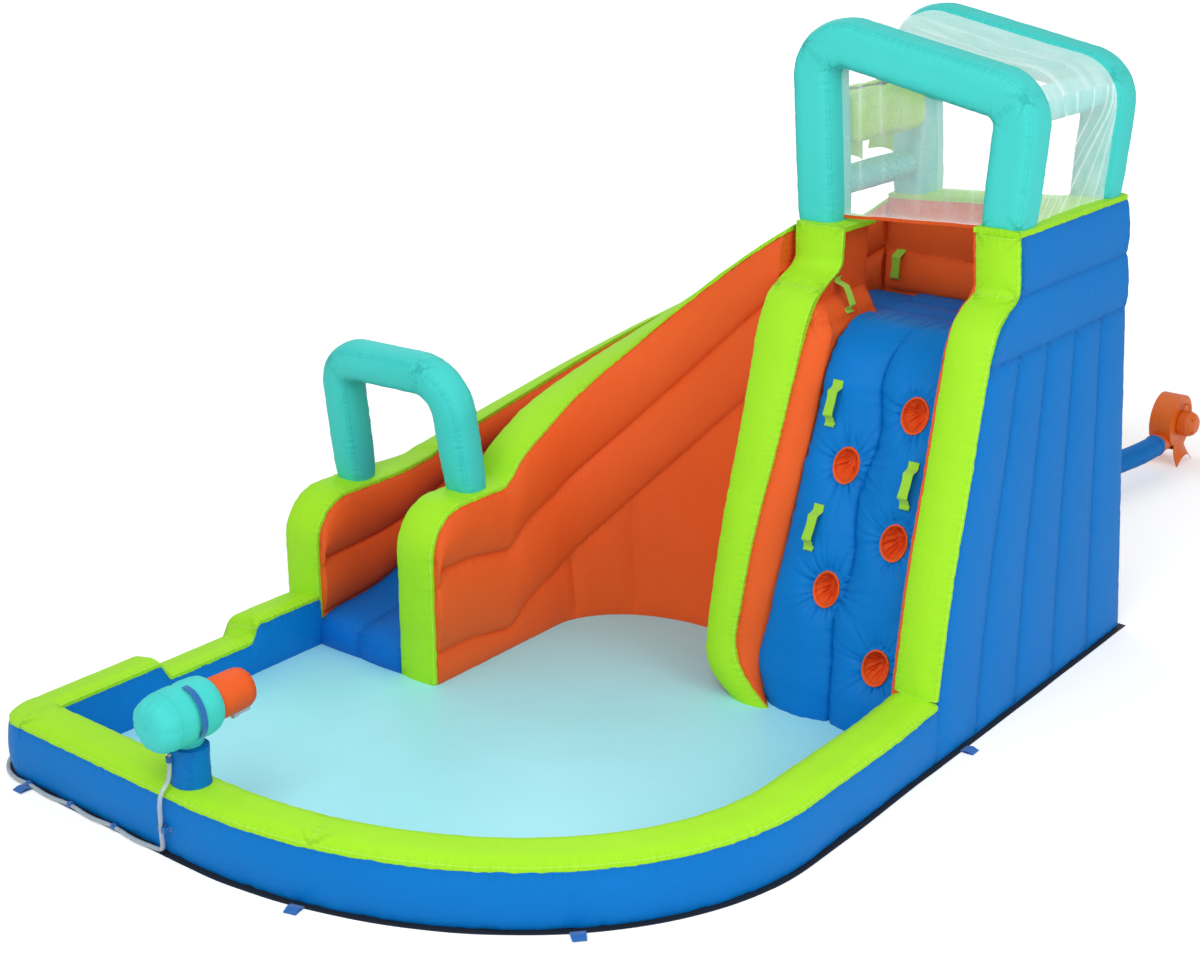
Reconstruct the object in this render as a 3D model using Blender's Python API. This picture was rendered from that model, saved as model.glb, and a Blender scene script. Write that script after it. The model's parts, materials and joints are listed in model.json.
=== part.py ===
"""Inflatable water park: splash pool, curved slide, climbing tower, drench bucket, water cannon and blower.

Metres, +Z up. The origin is on the ground under the middle of the whole park. Most places are given as an
inset from the tower's right face (towards -X), a depth from its back face (towards -Y) and a height.
"""

from math import acos, cos, hypot, pi, radians, sin, sqrt

import bmesh
import bpy
from mathutils import Matrix, Vector
from mathutils.bvhtree import BVHTree

# Overall sizes
PARK_WIDTH = 2.80
BACK_Y = 0.72
GAP = 0.0003

# Ground sheet and pool
SHEET_THICK = 0.003
SHEET_MARGIN = 0.030
LUG_LENGTH = 0.045
LUG_WIDTH = 0.060
FLOOR_THICK = 0.005
POOL_WALL = 0.19
POOL_HEIGHT = 0.25
POOL_DEPTH = 3.86
POOL_TURN_INSET = 1.70
POOL_TURN_DEPTH = 2.51
POOL_CORNER_INSIDE = 0.01
POOL_BULGE = 0.012
TOP_PANEL = 0.015
TOP_CROWN = 0.020
TOP_FLAT = 0.16
SEAM = 0.0008
LEFT_TILT = 0.04
STEP_DROP = 0.075
STEP_START = 2.70
STEP_END = 3.17
STEP_RAMP = 0.06

# Slide
SLIDE_WALL = 0.19
BED_WIDTH = 0.48
SLIDE_TURN_INSET = 1.40
SLIDE_TURN_DEPTH = 1.56
SLIDE_EXIT_DEPTH = 2.335
DOOR_DEPTH = 0.72
NEAR_BASE_DEPTH = 1.16
NEAR_LEAN = 0.085
NEAR_TUBE = 0.21
FAR_BACK_DEPTH = 0.06
SLIDE_TOP = 1.80
NEAR_POST = 0.757
FAR_POST = 0.655
BED_END = 0.14
BED_START_DROP = 0.020
BED_CROWN = 0.018
BED_TUBES = 2
BED_EDGE = 0.006
BED_THICK = 0.12
EXIT_ROUND = 0.20
SLIDE_BULGE = 0.022
FAR_TILT = 0.07

# Tower
RIM_LEFT = 1.83
RIM_RIGHT = 1.91
RIM_PANEL = 0.02
RIM_FALL = 0.010
RIM_DEPTH = 0.97
BASE_DEPTH = 1.66
BACK_WALL = 0.10
BACK_LINER = 0.10
SIDE_WALL = 0.15
SIDE_LINER = 0.045
LEAN = 0.075
LEFT_INNER = 0.945
LEFT_BULGE = 0.10
LEFT_OUTER_TOP = 1.155
LEFT_OUTER_BASE = 1.085
STRIP = 0.015
PLATFORM_TOP = 1.40
PLATFORM_THICK = 0.20
BAND_SEAM = 1.44
TOWER_BULGE = 0.014
SIDE_TUBES = 5
BACK_TUBES = 4
NOSE_TURN = 0.20
NOSE_HEIGHT = 0.28
PLATFORM_SET_BACK = 0.14
CLIMB_THICK = 0.20
CLIMB_SET_BACK = 0.09
CREST_HEIGHT = 0.22
CREST_DEPTH = 0.17
GROOVE_WANDER = 0.06
CLIMB_BULGE = 0.030
CLIMB_TOP = 1.48

# Footholds and hand loops
HOLE_RADIUS = 0.068
HOLE_DEPTH = 0.12
FOOTHOLDS = 5
FOOTHOLD_FIRST = 0.278
FOOTHOLD_TOP_MARGIN = 0.272
FOOTHOLD_RIGHT = 0.305
FOOTHOLD_LEFT = 0.568
LOOP_LEFT = 0.657
LOOP_RIGHT = 0.269
LINER_WALL = 0.008
LOOP_WIDTH = 0.045
LOOP_LENGTH = 0.19
LOOP_RISE = 0.035
LOOP_THICK = 0.004

# Arches, bars and nets
ARCH_DEPTH = 0.19
ARCH_TUBE = 0.185
ARCH_CORNER = 0.13
LEFT_LEG = 1.062
ARCH_SPREAD = 0.060
ARCH_TOP_LEFT = 2.575
ARCH_TOP_RIGHT = 2.392
FRONT_ARCH_AT = 0.865
REAR_ARCH_AT = 0.100
ENTRY_BAR = 0.12
ENTRY_BAR_HEIGHT = 1.965
ROOF_BAR = 0.14
ROOF_BAR_HEIGHT = 2.348
SLIDE_ARCH_TUBE = 0.185
SLIDE_ARCH_DEPTH = 2.01
SLIDE_ARCH_TOP = 1.245
SLIDE_ARCH_LEAN = 0.10
NET_THICK = 0.004
NET_SET_BACK = 0.75
HEM_LEVEL = 1.850
HEM_HEIGHT = 0.022

# Drench bucket
BUCKET_WIDTH = 0.24
BUCKET_HEIGHT = 0.22
BUCKET_WALL = 0.010
BUCKET_SLOT = 0.09
BUCKET_TAB = 0.075
BUCKET_PIVOT = 2.26
BUCKET_PIVOT_RISE = 0.035
PIN_RADIUS = 0.011
PIN_CLEARANCE = 0.0005
BUCKET_END_GAP = 0.012

# Water cannon and hose
CANNON_INSET = 1.74
CANNON_HEIGHT = 0.515
CANNON_RADIUS = 0.108
CANNON_LENGTH = 0.25
BARREL_RADIUS = 0.077
BARREL_LENGTH = 0.17
CANNON_REAR = 0.15
POST_WIDE = 0.150
POST_DEEP = 0.120
NECK_RISE = 0.010
STRAP_WIDTH = 0.022
STRAP_RISE = 0.008
STRAP_STEPS = 5
STRAP_TILT = -2
NOZZLE_RADIUS = 0.009
HOSE_RADIUS = 0.008
HOSE_SAG = 0.010
HOSE_HOLDS = 0.25
HOSE_END = 0.35

# Blower
FAN_INSET = 0.745
FAN_DEPTH = -2.30
FAN_HEIGHT = 0.225
VOLUTE_RADIUS = 0.165
VOLUTE_WIDTH = 0.120
VOLUTE_WALL = 0.005
INTAKE_RADIUS = 0.062
IMPELLER_RADIUS = 0.100
IMPELLER_RUN = 0.010
BLADES = 16
BLADE_ROOT = 0.045
BLADE_SWEEP = 0.45
BLADE_THICK = 0.0022
GRILLE_SLOTS = 12
SHAFT_RADIUS = 0.006
SHAFT_LENGTH = 0.030
MOTOR_RADIUS = 0.070
MOTOR_LENGTH = 0.095
SPOUT_LENGTH = 0.215
SPOUT_RADIUS = 0.052
SPOUT_HEIGHT = 0.125
SLEEVE_RADIUS = 0.058
SLEEVE_OVERLAP = 0.050
SLEEVE_INSET = 1.03
FOOT_ARCH = 0.045
FOOT_FLARE = 0.045
FOOT_TOP = 0.055
HANDLE_RISE = 0.040

RIGHT_X = PARK_WIDTH / 2
POOL_CORNER = POOL_WALL + POOL_CORNER_INSIDE
FLOOR_Z = SHEET_THICK + GAP
WALL_Z = FLOOR_Z
BACK_TOTAL = BACK_WALL + BACK_LINER
RIM_RIGHT_MIDDLE = LEAN * RIM_RIGHT + (SIDE_WALL + SIDE_LINER) / 2


def clear_scene():
    for thing in list(bpy.data.objects):
        bpy.data.objects.remove(thing, do_unlink=True)


def new_collection(name):
    group = bpy.data.collections.new(name)
    bpy.context.scene.collection.children.link(group)
    return group


clear_scene()
PARTS = new_collection("inflatable_water_park")
CUTTERS = new_collection("cutters")


def linear(hexcode):
    """sRGB hex to the linear values a shader takes."""
    values = [int(hexcode[i : i + 2], 16) / 255 for i in (0, 2, 4)]
    return [v / 12.92 if v <= 0.04045 else ((v + 0.055) / 1.055) ** 2.4 for v in values] + [1.0]


def finish(name, hexcode, roughness, metallic=0.0):
    material = bpy.data.materials.new(name)
    material.use_nodes = True
    shader = material.node_tree.nodes["Principled BSDF"]
    shader.inputs["Base Color"].default_value = linear(hexcode)
    shader.inputs["Roughness"].default_value = roughness
    shader.inputs["Metallic"].default_value = metallic
    return material


LIME = finish("lime_fabric", "A6EA38", 0.55)
BLUE = finish("blue_fabric", "1F7CCB", 0.55)
DEEP_BLUE = finish("deep_blue_fabric", "2458B8", 0.55)
ORANGE = finish("orange_fabric", "E4602A", 0.55)
TEAL = finish("teal_fabric", "4AD6CC", 0.55)
AQUA = finish("aqua_floor", "A2E6EC", 0.40)
BLACK = finish("black_sheet", "16181C", 0.60)
NET = finish("white_net", "E9EEEE", 0.70)
WEBBING = finish("green_webbing", "8CC61E", 0.80)
STRAP = finish("blue_webbing", "0F5FB4", 0.80)
VINYL = finish("clear_vinyl", "D8E4EA", 0.20)
ORANGE_PLASTIC = finish("orange_plastic", "E0702C", 0.40)
GREY_PLASTIC = finish("grey_plastic", "3B3E42", 0.50)
STEEL = finish("steel", "B8BCC0", 0.30, 1.0)


def spot(inset, depth, height):
    return Vector((RIGHT_X - inset, BACK_Y - depth, height))


def mix(a, b, t):
    return a + (b - a) * t


def along(points, x):
    """Smooth curve through (x, y) points that never overshoots them."""
    if x <= points[0][0]:
        return points[0][1]
    if x >= points[-1][0]:
        return points[-1][1]
    i = max(k for k in range(len(points) - 1) if points[k][0] <= x)
    rises = [(q[1] - p[1]) / (q[0] - p[0]) for p, q in zip(points[:-1], points[1:])]

    def slope(k):
        if k in (0, len(points) - 1):
            return rises[min(k, len(rises) - 1)]
        a, b = rises[k - 1], rises[k]
        return 0.0 if a * b <= 0 else 2 * a * b / (a + b)

    (x0, y0), (x1, y1) = points[i], points[i + 1]
    width = x1 - x0
    t = (x - x0) / width
    return (
        y0 * (2 * t**3 - 3 * t**2 + 1)
        + y1 * (3 * t**2 - 2 * t**3)
        + width * slope(i) * (t**3 - 2 * t**2 + t)
        + width * slope(i + 1) * (t**3 - t**2)
    )


def evenly(start, end, count):
    return [mix(start, end, k / count) for k in range(count + 1)]


def add(name, bm, material, smooth=35):
    bm.normal_update()
    bmesh.ops.recalc_face_normals(bm, faces=bm.faces)
    mesh = bpy.data.meshes.new(name)
    bm.to_mesh(mesh)
    bm.free()
    part = bpy.data.objects.new(name, mesh)
    part.data.materials.append(material)
    PARTS.objects.link(part)
    mesh.shade_smooth()
    mesh.set_sharp_from_angle(angle=radians(smooth))
    return part


def block(name, material, us, vs, ws, place):
    """A cube cut into a grid and pulled into shape: place(u, v, w) gives each grid point.

    Its faces are split along their short diagonal, so that two blocks that share a curved seam split it alike.
    """
    bm = bmesh.new()
    bmesh.ops.create_cube(bm, size=1.0)
    bmesh.ops.translate(bm, vec=(0.5, 0.5, 0.5), verts=bm.verts)
    stations = (us, vs, ws)
    for axis, values in enumerate(stations):
        if len(values) > 2:
            runs = [e for e in bm.edges if abs(e.verts[0].co[axis] - e.verts[1].co[axis]) > 0.5]
            bmesh.ops.subdivide_edges(bm, edges=runs, cuts=len(values) - 2)
    for vert in bm.verts:
        index = [round(vert.co[k] * (len(stations[k]) - 1)) for k in range(3)]
        vert.co = place(*(stations[k][index[k]] for k in range(3)))
    bmesh.ops.triangulate(bm, faces=bm.faces[:], quad_method="SHORT_EDGE")
    return add(name, bm, material)


def squared_disc(v, w, power):
    """A point of the square from -1 to 1 moved onto a disc: power 2 is round, more is squarer, 0 stays square."""
    reach = max(abs(v), abs(w))
    if reach == 0 or power == 0:
        return v, w
    length = (abs(v / reach) ** power + abs(w / reach) ** power) ** (1 / power)
    return v / length, w / length


def tube(name, material, path, across, half_out, half_along, power=2, cuts=3, feet=(None, None)):
    """A tube along a path of points. across is the direction that no bend turns; feet give the end heights."""
    points = [Vector(p) for p in path]
    across = Vector(across).normalized()
    grid = evenly(-1, 1, cuts)
    last = len(points) - 1

    def place(u, v, w):
        k = round(u * last)
        before = points[k] - points[max(k - 1, 0)]
        after = points[min(k + 1, last)] - points[k]
        before = before.normalized() if before.length else after.normalized()
        after = after.normalized() if after.length else before
        outward = (before + after).cross(across).normalized()
        stretch = 1 / sqrt((1 + before.dot(after)) / 2)
        a, b = squared_disc(v, w, power)
        point = points[k] + outward * (a * half_out * stretch) + across * (b * half_along)
        foot = feet[0] if k == 0 else feet[1] if k == last else None
        if foot:
            point += after * ((foot(point) - point.z) / after.z)
        return point

    return block(name, material, evenly(0, 1, last), grid, grid, place)


def rounded_path(corners, radius, steps):
    """The corner points joined by straight runs, each corner an arc."""
    path = [Vector(corners[0])]
    for before, here, after in zip(corners[:-2], corners[1:-1], corners[2:]):
        here = Vector(here)
        first = (Vector(before) - here).normalized()
        second = (Vector(after) - here).normalized()
        half = acos(max(-1.0, min(1.0, first.dot(second)))) / 2
        reach = radius / (sin(half) / cos(half))
        centre = here + (first + second).normalized() * (radius / sin(half))
        start, end = here + first * reach - centre, here + second * reach - centre
        turn = start.angle(end)
        for k in range(steps + 1):
            t = k / steps
            arm = (start * sin((1 - t) * turn) + end * sin(t * turn)) / sin(turn)
            path.append(centre + arm)
    path.append(Vector(corners[-1]))
    return path


def sheet(name, material, rings, thickness):
    """A flat sheet with an outline and holes, given as rings of points, and a thickness along a direction."""
    bm = bmesh.new()
    for ring in rings:
        verts = [bm.verts.new(point) for point in ring]
        for a, b in zip(verts, verts[1:] + verts[:1]):
            bm.edges.new((a, b))
    bmesh.ops.triangle_fill(bm, edges=bm.edges, use_beauty=True)
    grown = bmesh.ops.extrude_face_region(bm, geom=bm.faces[:], use_keep_orig=True)
    moved = [item for item in grown["geom"] if isinstance(item, bmesh.types.BMVert)]
    bmesh.ops.translate(bm, vec=thickness, verts=moved)
    return add(name, bm, material)


def hose(name, material, points, radius, resolution=1):
    curve = bpy.data.curves.new(name, "CURVE")
    curve.dimensions = "3D"
    curve.bevel_depth = radius
    curve.bevel_resolution = resolution
    curve.use_fill_caps = True
    spline = curve.splines.new("POLY")
    spline.points.add(len(points) - 1)
    for point, place in zip(spline.points, points):
        point.co = (*place, 1)
    part = bpy.data.objects.new(name, curve)
    part.data.materials.append(material)
    PARTS.objects.link(part)
    return part


def cylinder_mesh(bm, radius, length, matrix, segments=24, radius_end=None):
    bmesh.ops.create_cone(
        bm, cap_ends=True, segments=segments, radius1=radius,
        radius2=radius if radius_end is None else radius_end, depth=length, matrix=matrix,
    )


def cutter(name, radius, length, centre, direction, segments=24):
    bm = bmesh.new()
    turn = Vector(direction).to_track_quat("Z", "Y").to_matrix().to_4x4()
    cylinder_mesh(bm, radius, length, Matrix.Translation(centre) @ turn, segments)
    return hide_cutter(name, bm)


def hide_cutter(name, bm):
    mesh = bpy.data.meshes.new(name)
    bm.to_mesh(mesh)
    bm.free()
    part = bpy.data.objects.new(name, mesh)
    CUTTERS.objects.link(part)
    part.hide_render = True
    part.display_type = "WIRE"
    return part


def to_cutters(part):
    """Moves a finished solid among the cutters."""
    PARTS.objects.unlink(part)
    CUTTERS.objects.link(part)
    part.hide_render = True
    part.display_type = "WIRE"
    return part


def box_cutter(name, centre, size):
    bm = bmesh.new()
    bmesh.ops.create_cube(bm, size=1.0, matrix=Matrix.Translation(centre) @ Matrix.Diagonal((*size, 1)))
    return hide_cutter(name, bm)


def set_pivot(part, point):
    """Puts a moving piece's origin on its joint."""
    part.data.transform(Matrix.Translation(-point))
    part.location = point


def boolean(part, other, operation="DIFFERENCE"):
    modifier = part.modifiers.new(other.name, "BOOLEAN")
    modifier.operation = operation
    modifier.object = other
    return part


def turned(name, material, profile, centre, direction, segments=32, smooth=35):
    """A profile of (radius, distance along the axis) spun round the axis; closed by its ends on the axis."""
    bm = bmesh.new()
    verts = [bm.verts.new((r, 0, h)) for r, h in profile]
    edges = [bm.edges.new(pair) for pair in zip(verts[:-1], verts[1:])]
    bmesh.ops.spin(
        bm, geom=verts + edges, cent=(0, 0, 0), axis=(0, 0, 1), angle=2 * pi,
        steps=segments, use_merge=True, use_duplicate=False,
    )
    bmesh.ops.remove_doubles(bm, verts=bm.verts, dist=1e-5)
    turn = Vector(direction).to_track_quat("Z", "Y").to_matrix().to_4x4()
    bmesh.ops.transform(bm, matrix=Matrix.Translation(centre) @ turn, verts=bm.verts)
    return add(name, bm, material, smooth)


# Pool


def pool_outline():
    """Outer foot of the pool wall as (inset, depth), from the climbing tower round to the front left corner."""
    start = front_depth(0) - STRIP
    straight = PARK_WIDTH - POOL_CORNER - POOL_TURN_INSET
    reach = POOL_DEPTH - POOL_TURN_DEPTH
    points = [(0.0, mix(start, POOL_TURN_DEPTH, k / 3)) for k in range(3)]
    for k in range(17):
        angle = k / 16 * pi / 2
        points.append((POOL_TURN_INSET * (1 - cos(angle)), POOL_TURN_DEPTH + reach * sin(angle)))
    return points + [(POOL_TURN_INSET + straight * k / 4, POOL_DEPTH) for k in range(1, 5)]


def pool_rail(k, across):
    """The outline point moved across the wall, into the pool."""
    points = pool_outline()
    a, b = points[max(k - 1, 0)], points[min(k + 1, len(points) - 1)]
    di, dd = b[0] - a[0], b[1] - a[1]
    length = hypot(di, dd)
    return points[k][0] + dd / length * across, points[k][1] - di / length * across


def top_drop(share):
    """The lime top panels are flat in the middle and fall to both edges."""
    edge = min(share, 1 - share)
    return TOP_CROWN * max(0.0, 1 - edge / TOP_FLAT)


TOP_STATIONS = [0, TOP_FLAT, 1 - TOP_FLAT, 1]


def pool_front():
    count = len(pool_outline()) - 1

    def wall(u, v, w):
        k = round(u * count)
        side = -1 if v == 0 else 1 if v == 1 and u < 1 else 0
        i, d = pool_rail(k, POOL_WALL * v + side * POOL_BULGE * sin(pi * w))
        z = mix(WALL_Z, POOL_HEIGHT - TOP_PANEL - SEAM - top_drop(v), w)
        if u == 0:
            d = front_depth(z) - STRIP + 2 * SEAM
        return spot(i, d, z)

    block("pool_wall_front", BLUE, evenly(0, 1, count), TOP_STATIONS, evenly(0, 1, 4), wall)

    def cover(u, v, w):
        i, d = pool_rail(round(u * count), POOL_WALL * v)
        z = POOL_HEIGHT - top_drop(v) - TOP_PANEL * (1 - w)
        if u == 0:
            d = front_depth(z) - STRIP + 2 * SEAM
        return spot(i, d, z)

    block("pool_top_front", LIME, evenly(0, 1, count), TOP_STATIONS, [0, 1], cover)


def left_rail(t, across):
    """Round the front left corner (t 0 to 1) and back along the left wall to the slide (t 1 to 2)."""
    if t < 1:
        radius = max(POOL_CORNER - across, 0.006)
        i = PARK_WIDTH - POOL_CORNER + radius * sin(t * pi / 2)
        return i + (GAP if t == 0 else 0), POOL_DEPTH - POOL_CORNER + radius * cos(t * pi / 2)
    return PARK_WIDTH - across, mix(POOL_DEPTH - POOL_CORNER, SLIDE_EXIT_DEPTH + GAP, t - 1)


def left_height(depth):
    """The left wall dips where people step in."""
    ramp = min((depth - STEP_START) / STEP_RAMP, (STEP_END - depth) / STEP_RAMP) + 0.5
    return POOL_HEIGHT - STEP_DROP * max(0.0, min(1.0, ramp))


def pool_left():
    start, end = POOL_DEPTH - POOL_CORNER, SLIDE_EXIT_DEPTH + GAP
    middle = (STEP_START + STEP_END) / 2
    turns = [depth + side * STEP_RAMP / 2 for depth in (STEP_END, STEP_START) for side in (1, -1)]
    depths = sorted({*turns, middle, STEP_END + 0.2}, reverse=True)
    stations = [0, 0.25, 0.5, 0.75, 1, *(1 + (start - d) / (start - end) for d in depths), 2]

    def tilt(u, v):
        return LEFT_TILT * min(1.0, u) * (1 - v)

    def wall(u, v, w):
        side = -1 if v == 0 else 1 if v == 1 and u > 1 else 0
        swell = side * POOL_BULGE * sin(pi * w)
        i, d = left_rail(u, POOL_WALL * v + swell)
        return spot(i, d, mix(WALL_Z, left_height(d) - TOP_PANEL - SEAM - top_drop(v) - tilt(u, v), w))

    block("pool_wall_left", BLUE, stations, TOP_STATIONS, evenly(0, 1, 4), wall)

    def cover(u, v, w):
        i, d = left_rail(u, POOL_WALL * v)
        return spot(i, d, left_height(d) - top_drop(v) - tilt(u, v) - TOP_PANEL * (1 - w))

    block("pool_top_left", LIME, stations, TOP_STATIONS, [0, 1], cover)


def with_lug(outline, place):
    """Lets a flat webbing tab for a stake out of the outline at the point nearest to a place."""
    best = None
    for k in range(len(outline)):
        a, b = Vector(outline[k - 1]), Vector(outline[k])
        run = b - a
        if run.length < LUG_WIDTH * 1.2:
            continue
        edge = LUG_WIDTH * 0.55 / run.length
        share = max(edge, min(1 - edge, (Vector(place) - a).dot(run) / run.length_squared))
        foot = a + run * share
        far = (foot - Vector(place)).length
        if best is None or far < best[0]:
            best = (far, k, foot, run.normalized())
    _, k, foot, run = best
    out = Vector((-run.y, run.x))
    half = run * LUG_WIDTH / 2
    tip = foot + out * LUG_LENGTH
    corners = [foot - half, tip - half, tip + half, foot + half]
    return outline[:k] + [tuple(c) for c in corners] + outline[k:]


def ground_sheet():
    out = SHEET_MARGIN
    count = len(pool_outline()) - 1
    outline = [(-out, -out)] + [pool_rail(k, -out) for k in range(count + 1)]
    outline += [left_rail(t, -out) for t in (0.25, 0.5, 0.75, 1)]
    reach = (PARK_WIDTH - SLIDE_TURN_INSET + out, SLIDE_TURN_DEPTH - FAR_BACK_DEPTH + out)
    for k in range(11):
        angle = k / 10 * pi / 2
        outline.append((SLIDE_TURN_INSET + reach[0] * cos(angle), SLIDE_TURN_DEPTH - reach[1] * sin(angle)))
    outline += [(LEFT_OUTER_TOP + out, FAR_BACK_DEPTH - out), (LEFT_OUTER_TOP + out, -out)]
    left, front = PARK_WIDTH, POOL_DEPTH
    tower_side = [(0, 1.46), (0.12, 0), (LEFT_OUTER_TOP - 0.2, 0)]
    at_hold = front - POOL_CORNER - 4 * HOSE_HOLDS
    slide_side = [(left - 0.45, 0.3), (left, SLIDE_TURN_DEPTH + 0.1), (left, at_hold)]
    pool_side = [(hose_start() + 3 * HOSE_HOLDS, front), (POOL_TURN_INSET - 0.52, front), (0.31, front - 0.42)]
    for place in tower_side + slide_side + pool_side:
        outline = with_lug(outline, place)
    sheet("ground_sheet", BLACK, [[spot(i, d, 0) for i, d in outline]], (0, 0, SHEET_THICK))


def pool_floor():
    """The wet floor, fitted between the pool walls, the slide and the climbing side."""
    clear = POOL_BULGE + 0.004
    count = len(pool_outline()) - 1
    inner = POOL_WALL + clear
    strip = max(SIDE_WALL + SIDE_LINER + 0.012, inner)
    back = climb_face(0.05) + 0.03
    outline = [(strip + 0.06, back), (strip, back), (strip, front_depth(0) + 0.03)]
    outline += [pool_rail(k, inner) for k in range(2, count)]
    outline.append((PARK_WIDTH - inner, POOL_DEPTH - inner))
    exit_front = SLIDE_EXIT_DEPTH + clear
    outline += [(PARK_WIDTH - inner, exit_front), (near_outer(1, 0)[0] - clear, exit_front)]
    for t in (0.9, 0.8, 0.72, *[s for s in reversed(SLIDE_STATIONS) if 0.1 < s < 0.66]):
        a, b = near_outer(t, 0), near_outer(t + 0.01, 0)
        run = hypot(b[0] - a[0], b[1] - a[1])
        outline.append((a[0] - (b[1] - a[1]) / run * 0.03, a[1] + (b[0] - a[0]) / run * 0.03))
    nose = front_depth(0) + 0.012
    outline += [(LEFT_OUTER_BASE + 0.03, NEAR_BASE_DEPTH + 0.05), (LEFT_OUTER_BASE + 0.012, nose - 0.292),
                (strip_outer(0.02) + 0.02, nose), (strip_inner(0) - 0.02, nose), (strip_inner(0) - 0.03, back)]
    rings = [[spot(i, d, FLOOR_Z) for i, d in outline]]
    sheet("pool_floor", AQUA, rings, (0, 0, FLOOR_THICK))


# Slide


TURN_START = 0.15
TURN_END = 0.65
POST_START = 0.80
SLIDE_STATIONS = [0, 0.075, 0.15, 0.22, 0.29, 0.36, 0.43, 0.50, 0.57, 0.65, 0.725, POST_START]
NEAR_SLOPE = [(0, 1), (0.15, 0.828), (0.30, 0.617), (0.445, 0.416), (0.55, 0.297), (0.65, 0.20), (0.74, 0.10),
              (POST_START, 0.0), (1, 0)]
FAR_SLOPE = [(0, 1), (0.15, 0.833), (0.36, 0.465), (0.46, 0.289), (0.53, 0.175), (0.60, 0.09), (0.68, 0.02),
             (POST_START, 0.0), (1, 0)]
BED_SLOPE = [(0, 1), (0.15, 0.866), (0.40, 0.518), (0.65, 0.194), (0.75, 0.089), (0.86, 0.024), (1, 0)]


def slide_rail(t, inset_reach, depth_reach):
    """Plan of one long edge of the slide: out of the tower (t 0), round a quarter turn, to the exit (t 1)."""
    if t < TURN_START:
        return mix(LEFT_OUTER_TOP, SLIDE_TURN_INSET, t / TURN_START), SLIDE_TURN_DEPTH - depth_reach
    if t < TURN_END:
        angle = (t - TURN_START) / (TURN_END - TURN_START) * pi / 2
        return SLIDE_TURN_INSET + inset_reach * sin(angle), SLIDE_TURN_DEPTH - depth_reach * cos(angle)
    run = (t - TURN_END) / (1 - TURN_END)
    return SLIDE_TURN_INSET + inset_reach, mix(SLIDE_TURN_DEPTH, SLIDE_EXIT_DEPTH, run)


def straight_t(depth):
    """The station of the slide's last straight run at a depth."""
    return mix(TURN_END, 1, (depth - SLIDE_TURN_DEPTH) / (SLIDE_EXIT_DEPTH - SLIDE_TURN_DEPTH))


def far_outer(t, z):
    return slide_rail(t, PARK_WIDTH - SLIDE_TURN_INSET, SLIDE_TURN_DEPTH - FAR_BACK_DEPTH)


def far_inner(t, z):
    return slide_rail(t, PARK_WIDTH - SLIDE_WALL - SLIDE_TURN_INSET, SLIDE_TURN_DEPTH - BACK_TOTAL)


def near_inner(t, z):
    reach = PARK_WIDTH - SLIDE_WALL - BED_WIDTH - SLIDE_TURN_INSET
    return slide_rail(t, reach, SLIDE_TURN_DEPTH - DOOR_DEPTH)


def near_outer(t, z):
    reach = PARK_WIDTH - 2 * SLIDE_WALL - BED_WIDTH - SLIDE_TURN_INSET
    i, d = slide_rail(t, reach, SLIDE_TURN_DEPTH - NEAR_BASE_DEPTH + NEAR_LEAN * z)
    return (left_outer(z) if t == 0 else i), d


def near_top(t):
    return mix(NEAR_POST, SLIDE_TOP, along(NEAR_SLOPE, t))


def far_top(t):
    return mix(FAR_POST, SLIDE_TOP, along(FAR_SLOPE, t))


def bed_top(t):
    return mix(BED_END, PLATFORM_TOP - BED_START_DROP, along(BED_SLOPE, t))


def far_tilt(t):
    """The far wall's lime panel falls to the outside on the slope and is level at both ends."""
    return FAR_TILT * max(0.0, min(1.0, t / TURN_START, (POST_START - t) / 0.2))


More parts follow.
